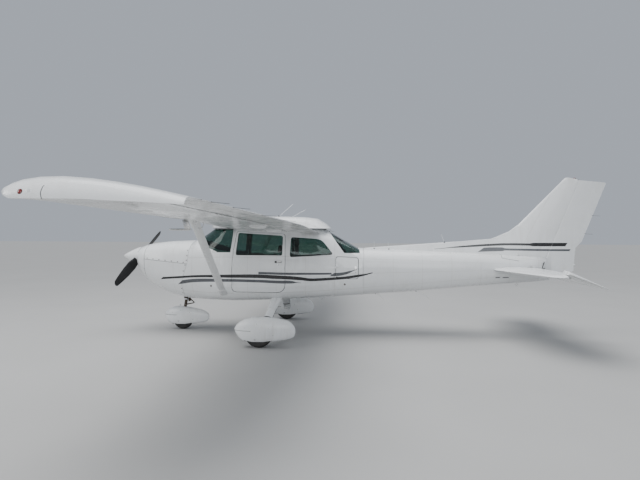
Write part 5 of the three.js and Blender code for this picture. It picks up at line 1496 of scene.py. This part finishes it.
# %% Antennas
def whip(name, node, start, down, tip, thickness=0.006, foot=0.018, bend=0.0):
    spot, normal = land(node, start, down)
    pad = ((foot, -0.004), (foot, 0.003), (foot * 0.7, 0.010), (foot * 0.35, 0.020))
    finish_piece(turned(spot, normal, pad, 24), name + "_foot", "black_rubber_and_shade")
    middle = spot.lerp(Vector(tip), 0.5) + Vector((0, 0, bend))
    finish_piece(rod([spot, middle, Vector(tip)], thickness), name, "smooth_paint")


whip("roof_whip_front", "roof", at(1.57, -0.18, 3), (0, 0, -1), at(1.83, -0.30, 2.19))
whip("roof_whip_rear", "roof", at(1.73, 0.16, 3), (0, 0, -1), at(1.97, 0.26, 2.13))
whip("back_whip_front", "tail_cone", at(3.19, -0.09, 3), (0, 0, -1), at(3.19, -0.10, 1.570), 0.004, 0.012)
whip("back_whip_rear", "tail_cone", at(3.435, -0.09, 3), (0, 0, -1), at(3.42, -0.10, 1.556), 0.004, 0.012)
whip("strake_whip", "fin", at(4.37, 0.0, 3), (0, 0, -1), at(4.315, 0.0, 1.700), 0.006, 0.010)
whip("belly_rod_front", "tail_cone", at(3.22, 0.0, 0), (0, 0, 1), at(3.36, 0.0, 0.575), 0.007, 0.014, 0.01)
whip("belly_rod_rear", "tail_cone", at(3.90, 0.0, 0), (0, 0, 1), at(4.12, 0.0, 0.610), 0.007, 0.014, 0.012)
spot = land("cabin_shell", at(2.30, 0.10, 0), (0, 0, 1))[0]
blade = block(spot - Vector((0, 0, 0.035)), (0.055, 0.007, 0.08), 0.003, 2, 18)
finish_piece(blade, "belly_blade", "smooth_paint")
print("seven antennas and a blade")

# %% [markdown]
# Small round fittings finish the body: ports that sense the still air, drains in the belly, rings to tie
# the aircraft down by, and rows of vents beside the tail, whose openings are flat black strips of painted
# shade. Each could be placed by typing its height, but the skin curves both ways there, so a ray finds
# where it sits.

# %% Ports, drains, rings and vents
PORT = ((0.016, -0.002), (0.016, 0.0012), (0.013, 0.0016), (0.004, 0.0016), (0.003, -0.001), (0.001, -0.001))
PORTS = ((2.71, 0.872), (0.50, 0.82))
DRAINS = ((0.55, 0.0), (1.05, 0.18), (1.05, -0.18), (2.62, 0.0))
TIE_DOWNS = (("wing_left", 1.02, -2.70), ("wing_right", 1.02, 2.70), ("tail_cone", 5.55, 0))
RING = 0.022
VENTS = ((5.197, 0.073, -1), (5.330, 0.097, -1), (5.197, 0.073, 1), (5.330, 0.097, 1))

ports = [land("cabin_shell", at(x, side * 2, z), (0, -side, 0)) for side in (-1, 1) for x, z in PORTS]
finish_piece(spread(fitting(PORT, 24), ports), "static_ports", "dark_steel")
drain = fitting(((0.010, -0.003), (0.010, 0.004), (0.006, 0.008), (0.001, 0.008)), 16)
drains = [land("cabin_shell", at(x, y, 0), (0, 0, 1)) for x, y in DRAINS]
finish_piece(spread(drain, drains), "belly_drains", "dark_steel")
loops = []
for node, station, y in TIE_DOWNS:
    spot = land(node, at(station, y, 0), (0, 0, 1))[0]
    circle = []
    for step in range(8):
        angle = 2 * math.pi * step / 8
        circle.append(spot + Vector((RING * math.cos(angle), 0, -RING - RING * math.sin(angle))))
    loops.append(rod(circle, 0.008, closed=True))
finish_piece(join(loops), "tie_down_rings", "bright_steel")
# Each vent is a flat black patch: painted shade for its opening.
for number, (station, length, side) in enumerate(VENTS):
    patch("tail_cone", at(station, side * 0.1, 0.995), (0, -side, 0), (1, 0, 0.03), (length, 0.012),
          f"tail_vent_{number}", "black_rubber_and_shade", 0.0012, 0.004)
print("ports, drains, rings and", len(VENTS), "vents")

# %% [markdown]
# Wings carry more than rivets: fuel caps on top, round inspection covers and flap-track fairings below, a
# landing light in the left leading edge, a pitot tube, a stall vane, a fuel vent behind the strut,
# coloured lights at the tips and thin wicks at the trailing edges that let static electricity off. The
# round ones could be plain discs, but a profile gives them the rolled edges that catch light. Each is
# turned once and copied.


# %% Caps, covers and fairings on the wings
def wing_place(side, span, station, below=True):
    node = "wing_" + ("left" if side < 0 else "right")
    start = at(station, side * span, 0.5 if below else 3.0)
    return land(node, start, (0, 0, 1 if below else -1))


CAP = ((0.055, -0.003), (0.055, 0.002), (0.050, 0.003), (0.048, 0.001), (0.042, 0.001), (0.040, 0.007),
       (0.036, 0.009), (0.001, 0.009))
FAIRING = ((0.004, -0.16), (0.016, -0.13), (0.024, -0.07), (0.026, 0.0), (0.022, 0.05), (0.016, 0.07))
COVER_SCREWS = 0.053

cover = fitting(((0.062, -0.002), (0.062, 0.0008), (0.060, 0.0014), (0.001, 0.0014)), 36)
screw = fitting(((0.0045, -0.002), (0.0045, 0.0018), (0.003, 0.0024), (0.001, 0.0022)), 10)
covers, screws = [], []
for side in (-1, 1):
    for span in (1.30, 1.95, 3.15, 3.80, 4.45):
        station = 1.32 if span < 2.6 else 1.26
        covers.append(wing_place(side, span, station))
        for step in range(6):
            angle = math.pi * (step + 0.5) / 3
            outward, back = COVER_SCREWS * math.sin(angle), COVER_SCREWS * math.cos(angle)
            screws.append(wing_place(side, span + outward, station + back))
finish_piece(spread(cover, covers), "wing_covers", "smooth_paint")
finish_piece(spread(screw, screws), "cover_screws", "bright_steel")
caps = [wing_place(side, 1.45, 0.98, False) for side in (-1, 1)]
tabs = [block(spot + normal * 0.011, (0.060, 0.008, 0.007), 0.002, 2) for spot, normal in caps]
finish_piece(spread(fitting(CAP, 40), caps), "fuel_caps", "wheel_metal")
finish_piece(join(tabs), "fuel_cap_tabs", "bright_steel")
for side, word in SIDES:
    shapes = []
    for span in (0.985, 2.065):
        spot = wing_place(side, span, 1.70)[0]
        shape = turned((0, 0, 0), (1, 0, 0), FAIRING, 24)
        shape.scale = (0.55, 1.0, 1.0)
        shape.location = spot + Vector((-0.02, 0, -0.002))
        shapes.append(shape)
    finish_piece(join(shapes), "flap_track_fairings_" + word, "smooth_paint")
print("covers:", len(covers), "with", len(screws), "screws")

# %% [markdown]
# The landing light sits in the left leading edge. Cutting the wing open for it would spoil a smooth skin,
# so its window is a glossy patch whose dark is painted shade for the bay behind the clear cover, and the
# two lamps stand through it. The tube that measures airspeed hangs on a short mast, and the stall vane is
# a small tab on a plate on the nose of the wing.

# %% Landing light, pitot tube, vane and vents
LAMP = ((0.030, -0.004), (0.030, 0.002), (0.026, 0.003), (0.020, 0.0005), (0.001, -0.001))
PITOT = ((0.0055, 0.004), (0.0055, 0.0), (0.0085, 0.0), (0.011, 0.02), (0.011, 0.22), (0.004, 0.26))
VENT = ((0, 0.006), (0, -0.05), (-0.02, -0.075), (-0.06, -0.078))
SCOOP = ((0.030, -0.003), (0.030, 0.002), (0.026, 0.003), (0.024, -0.0005), (0.001, -0.001))

# The dark glossy patch is painted shade for the bay behind the clear cover.
patch("wing_left", at(0.60, -3.05, 1.835), (1, 0, 0.04), (0, 1, 0), (0.30, 0.070),
      "landing_window_shade", "dark_glass_and_shade", 0.0016, 0.014)
lamps = [land("wing_left", at(0.0, y, 1.835), (1, 0, 0)) for y in (-2.975, -3.125)]
lamps = [(spot + normal * 0.001, normal) for spot, normal in lamps]
finish_piece(spread(fitting(LAMP, 32), lamps), "landing_lamps", "clear_lens")
spot = wing_place(-1, 2.95, 1.02)[0]
mast = block(spot + Vector((0, 0, -0.055)), (0.070, 0.010, 0.12), 0.004, 2, -16)
tube = turned(spot + Vector((-0.20, 0, -0.112)), (1, 0, 0), PITOT, 24)
finish_piece(join([mast, tube]), "pitot_tube", "bright_steel")
spot = land("wing_left", at(0.0, -1.55, 1.79), (1, 0, 0))[0]
patch("wing_left", spot, (1, 0, 0.1), (0, 1, 0), (0.070, 0.024), "stall_plate", "bright_steel", 0.0012, 0.005)
vane = block(spot + Vector((-0.010, 0, -0.004)), (0.030, 0.026, 0.0016), 0.0006, 1)
finish_piece(vane, "stall_vane", "bright_steel")
spot = wing_place(-1, 2.60, 1.09)[0]
vent = rod([spot + Vector((back, 0, up)) for back, up in VENT], 0.010)
finish_piece(vent, "fuel_vent", "bright_steel")
# Each cabin air inlet is a rimmed black dish: painted shade for the open inlet.
scoops = [land("wing_" + word, at(0.0, side * 0.80, 1.775), (1, 0, 0)) for side, word in SIDES]
finish_piece(spread(fitting(SCOOP, 28), scoops), "cabin_air_inlets_shade", "black_rubber_and_shade")
print("landing light, pitot tube, stall vane, vent and", len(scoops), "air inlets")

# %% [markdown]
# Red is left and green is right. Each tip light is a low round lens on a dark base, on the outer face of
# the tip just behind its nose, with a round flashing lamp behind it. Both stay inside the aircraft's full
# span. A red beacon stands on the fin and a white light ends the tail. A ball would be a simpler tip
# lens, but it would stand out past the span.

# %% Tip lights, beacon and tail light
LENS = ((0.0145, -0.012), (0.0143, 0.0008), (0.0115, 0.0026), (0.007, 0.0036), (0.002, 0.004))
COLLAR = ((0.0165, -0.013), (0.017, 0.0006), (0.0162, 0.0012), (0.014, 0.0012))
FLASH = ((0.014, -0.012), (0.014, 0.0008), (0.010, 0.002), (0.003, 0.0026))
TAIL_LENS = ((0.016, 0.0), (0.017, 0.014), (0.015, 0.026), (0.008, 0.034), (0.002, 0.036))
FIN_TOP = 2.640
for side, word, colour in ((-1, "left", "red_lens"), (1, "right", "green_lens")):
    node = "wing_tip_" + word
    spot, normal = land(node, at(0.983, side * 6.0, 1.877), (0, -side, 0))
    finish_piece(turned(spot, normal, COLLAR, 28), "tip_collar_" + word, "dark_steel")
    finish_piece(turned(spot, normal, LENS, 28), "tip_light_" + word, colour)
    spot, normal = land(node, at(1.034, side * 6.0, 1.884), (0, -side, 0))
    finish_piece(turned(spot, normal, FLASH, 28), "tip_flash_" + word, "clear_lens")
spot = land("fin", at(6.46, 0.0, 4.0), (0, 0, -1))[0]
top = FIN_TOP - spot.z
base = turned(spot, (0, 0, 1), ((0.030, -0.012), (0.030, 0.004), (0.027, 0.006), (0.010, 0.006)), 32)
finish_piece(base, "beacon_base", "bright_steel")
dome = ((0.025, 0.004), (0.0255, top * 0.45), (0.022, top * 0.75), (0.014, top * 0.95), (0.004, top))
finish_piece(turned(spot, (0, 0, 1), dome, 32), "beacon", "red_lens")
spot = land("rudder", at(9.0, 0.0, 1.20), (-1, 0, 0))[0]
lens = turned(spot - Vector((0.012, 0, 0)), (1, 0, 0.05), TAIL_LENS, 28)
finish_piece(lens, "tail_light", "clear_lens", "rudder")
print("tail light at", [round(value, 3) for value in spot])

# %% [markdown]
# Wicks are thin black rods on small black feet, set in a row on the moving surfaces, so each row rides the
# surface it is on. The trailing edge is too thin to aim at, so rays at many heights are tried and the one
# that lands furthest back wins. A small dark bracket on each side of the tail finishes it.


# %% Static wicks and tail fittings
TRIES, TRY_STEP = 60, 0.004
WICK = 0.0032


def wick_row(node, starts, back):
    rods = []
    for start in starts:
        spot = land(node, start, (-1, 0, 0))[0]
        rods.append(rod([spot - Vector(back) * 0.12, spot + Vector(back)], WICK, bent=False, steps=1))
        rods.append(block(spot - Vector(back) * 0.05, (0.026, 0.007, 0.005), 0.0015, 1))
    finish_piece(join(rods), "wicks_" + node, "blade_black", solids[node]["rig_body"])


def edge_height(node, y):
    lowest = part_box(node)[0].z + 0.002
    furthest, best = -99.0, lowest
    for step in range(TRIES):
        height = lowest + step * TRY_STEP
        hit, spot, normal, face = skins[node].ray_cast(at(3.5, y, height), Vector((-1, 0, 0)))
        if hit and spot.x > furthest:
            furthest, best = spot.x, height
    return best


for side, word in SIDES:
    node = "aileron_" + word
    spans = [side * span for span in (3.30, 3.95, 4.60, 4.98)]
    wick_row(node, [at(3.5, y, edge_height(node, y)) for y in spans], (0.13, 0, -0.012))
wick_row("rudder", [at(8.0, 0, z) for z in (1.72, 2.02)], (0.12, 0, -0.01))
brackets = []
for side in (-1, 1):
    bend = [at(5.954, side * 0.112, 1.253), at(5.918, side * 0.118, 1.151), at(5.966, side * 0.112, 1.149)]
    brackets.append(rod(bend, 0.014, bent=False))
finish_piece(join(brackets), "tail_brackets", "black_rubber_and_shade")
print("wicks and tail fittings")

# %% [markdown]
# Inside, the panel carries a block of six flight instruments before the left seat, and smaller gauges
# beside them. A picture of dials would stay flat when light falls on it from the side, so each dial is
# built: a bezel, a dark glass, a ring of plain tick marks and a pointer.


# %% Dials
PANEL_FACE = 0.4762
TICKS = 10


def on_dial(spot, lift, angle):
    return Matrix.Translation(spot + Vector((lift, 0, 0))) @ Matrix.Rotation(angle, 4, "X")


dials = [(y, z, 0.041) for z in (1.315, 1.215) for y in (-0.405, -0.305, -0.205)]
dials += [(-0.105, 1.315, 0.030), (0.18, 1.315, 0.034), (0.26, 1.315, 0.034), (0.34, 1.315, 0.034)]
bezels, glasses, marks, pointers = [], [], [], []
for number, (y, z, r) in enumerate(dials):
    spot = at(PANEL_FACE, y, z)
    bezel = (
        (r, -0.002), (r, 0.006), (r * 0.94, 0.009), (r * 0.88, 0.009), (r * 0.84, 0.004), (r * 0.5, 0.004),
    )
    bezels.append(turned(spot, (1, 0, 0), bezel, 40))
    glass = ((r * 0.85, 0.0), (r * 0.83, 0.0010), (r * 0.4, 0.0012))
    glasses.append(turned(spot + Vector((0.0042, 0, 0)), (1, 0, 0), glass, 36))
    for tick in range(TICKS):
        mark = block((0, 0, r * 0.68), (0.0006, 0.0018, r * 0.16), 0.0002, 1)
        mark.matrix_world = on_dial(spot, 0.0056, 2 * math.pi * tick / TICKS) @ mark.matrix_world
        marks.append(mark)
    hand = block((0, 0, r * 0.28), (0.0008, 0.0028, r * 0.62), 0.0003, 1)
    hand.matrix_world = on_dial(spot, 0.0066, 0.9 + number * 0.7) @ hand.matrix_world
    pointers.append(hand)
finish_piece(join(bezels), "dial_bezels", "panel_black")
finish_piece(join(glasses), "dial_faces", "dark_glass_and_shade")
finish_piece(join(marks + pointers), "dial_marks", "dial_white")
print("dials:", len(dials))

# %% [markdown]
# A stack of radios fills the middle of the panel, with a row of switches and two push-pull knobs below it
# and a glove box on the right. One round knob is made and copied to every place. The stack could be one
# block, but then it would lack the gaps between the units.

# %% Radios, switches and knobs
RADIO_HEIGHTS = (1.335, 1.288, 1.241, 1.194)
PULL_KNOB = (
    (0.010, -0.002), (0.010, 0.006), (0.0045, 0.008), (0.0045, 0.062), (0.015, 0.066), (0.0175, 0.078),
    (0.015, 0.090), (0.006, 0.094),
)

radios = [block(at(PANEL_FACE + 0.006, 0.035, z), (0.016, 0.165, 0.040), 0.003, 2) for z in RADIO_HEIGHTS]
finish_piece(join(radios), "radio_stack", "panel_black")
windows = [block(at(PANEL_FACE + 0.0145, 0.030, z), (0.002, 0.085, 0.020), 0.0006, 1) for z in RADIO_HEIGHTS]
finish_piece(join(windows), "radio_windows", "dark_glass_and_shade")
knob = fitting(((0.009, -0.001), (0.009, 0.010), (0.0075, 0.013), (0.001, 0.013)), 18)
knobs = [(at(PANEL_FACE + 0.014, y, z), (1, 0, 0)) for z in RADIO_HEIGHTS for y in (-0.032, 0.100)]
knobs += [(at(PANEL_FACE, -0.42 + 0.032 * n, 1.035), (1, 0, 0)) for n in range(9)]
finish_piece(spread(knob, knobs), "panel_knobs", "black_rubber_and_shade")
pulls = [turned(at(PANEL_FACE, y, 1.035), (1, 0, 0), PULL_KNOB, 28) for y in (0.035, 0.095)]
finish_piece(pulls[0], "throttle_knob", "black_rubber_and_shade")
finish_piece(pulls[1], "mixture_knob", "red_lens")
patch("instrument_panel", at(PANEL_FACE, 0.325, 1.10), (-1, 0, 0), (0, 1, 0), (0.22, 0.11),
      "glove_box_lid", "panel_black", 0.004, 0.012)
print("knobs:", len(knobs))

# %% [markdown]
# Each seat before the panel has a yoke with two grips and a pair of pedals. A pedestal between them holds
# the trim wheel, and a compass stands on the padded glareshield. These could be left out, as little of
# them shows through the glass, but an empty cockpit is the first thing a close view gives away. Rods and
# rounded blocks are enough at that size.

# %% Yokes, pedals and pedestal
GRIP = ((0.668, 0.118, 1.150), (0.668, 0.128, 1.185), (0.668, 0.139, 1.232))
TRIM_WHEEL = ((0.045, 0.0), (0.072, 0.003), (0.074, 0.012), (0.072, 0.021), (0.045, 0.024))
COMPASS = (
    (0.020, 0.0), (0.014, 0.006), (0.014, 0.030), (0.032, 0.034), (0.034, 0.046), (0.034, 0.078),
    (0.028, 0.092), (0.008, 0.096),
)

for side, word in SIDES:
    y = side * 0.255
    grips = [rod([at(x, y + e * reach, z) for x, reach, z in GRIP], 0.032) for e in (-1, 1)]
    cap = block(at(0.672, y, 1.135), (0.036, 0.082, 0.066), 0.014, 3)
    finish_piece(join(grips + [cap]), "yoke_grips_" + word, "black_rubber_and_shade")
    feet = []
    for e in (-0.075, 0.075):
        feet.append(block(at(0.235, y + e, 0.765), (0.012, 0.085, 0.075), 0.005, 2, -24))
        feet.append(rod([at(0.225, y + e, 0.675), at(0.230, y + e, 0.740)], 0.016, bent=False))
    finish_piece(join(feet), "rudder_pedals_" + word, "dark_steel")
tunnel = block(at(0.545, 0, 0.815), (0.16, 0.115, 0.310), 0.016, 3)
finish_piece(tunnel, "pedestal", "cabin_lining")
trim_wheel = turned(at(0.600, -0.012, 0.860), (0, 1, 0), TRIM_WHEEL, 36)
finish_piece(trim_wheel, "trim_wheel", "black_rubber_and_shade")
finish_piece(turned(at(0.36, 0, 1.380), (0, 0, 1), COMPASS, 28), "compass", "black_rubber_and_shade")
pillow = block(at(0.372, 0, 1.3805), (0.330, 0.86, 0.008), 0.003, 2)
finish_piece(pillow, "glareshield_pad", "panel_black")
print("two yokes, four pedals, pedestal, trim wheel and compass")

# %% [markdown]
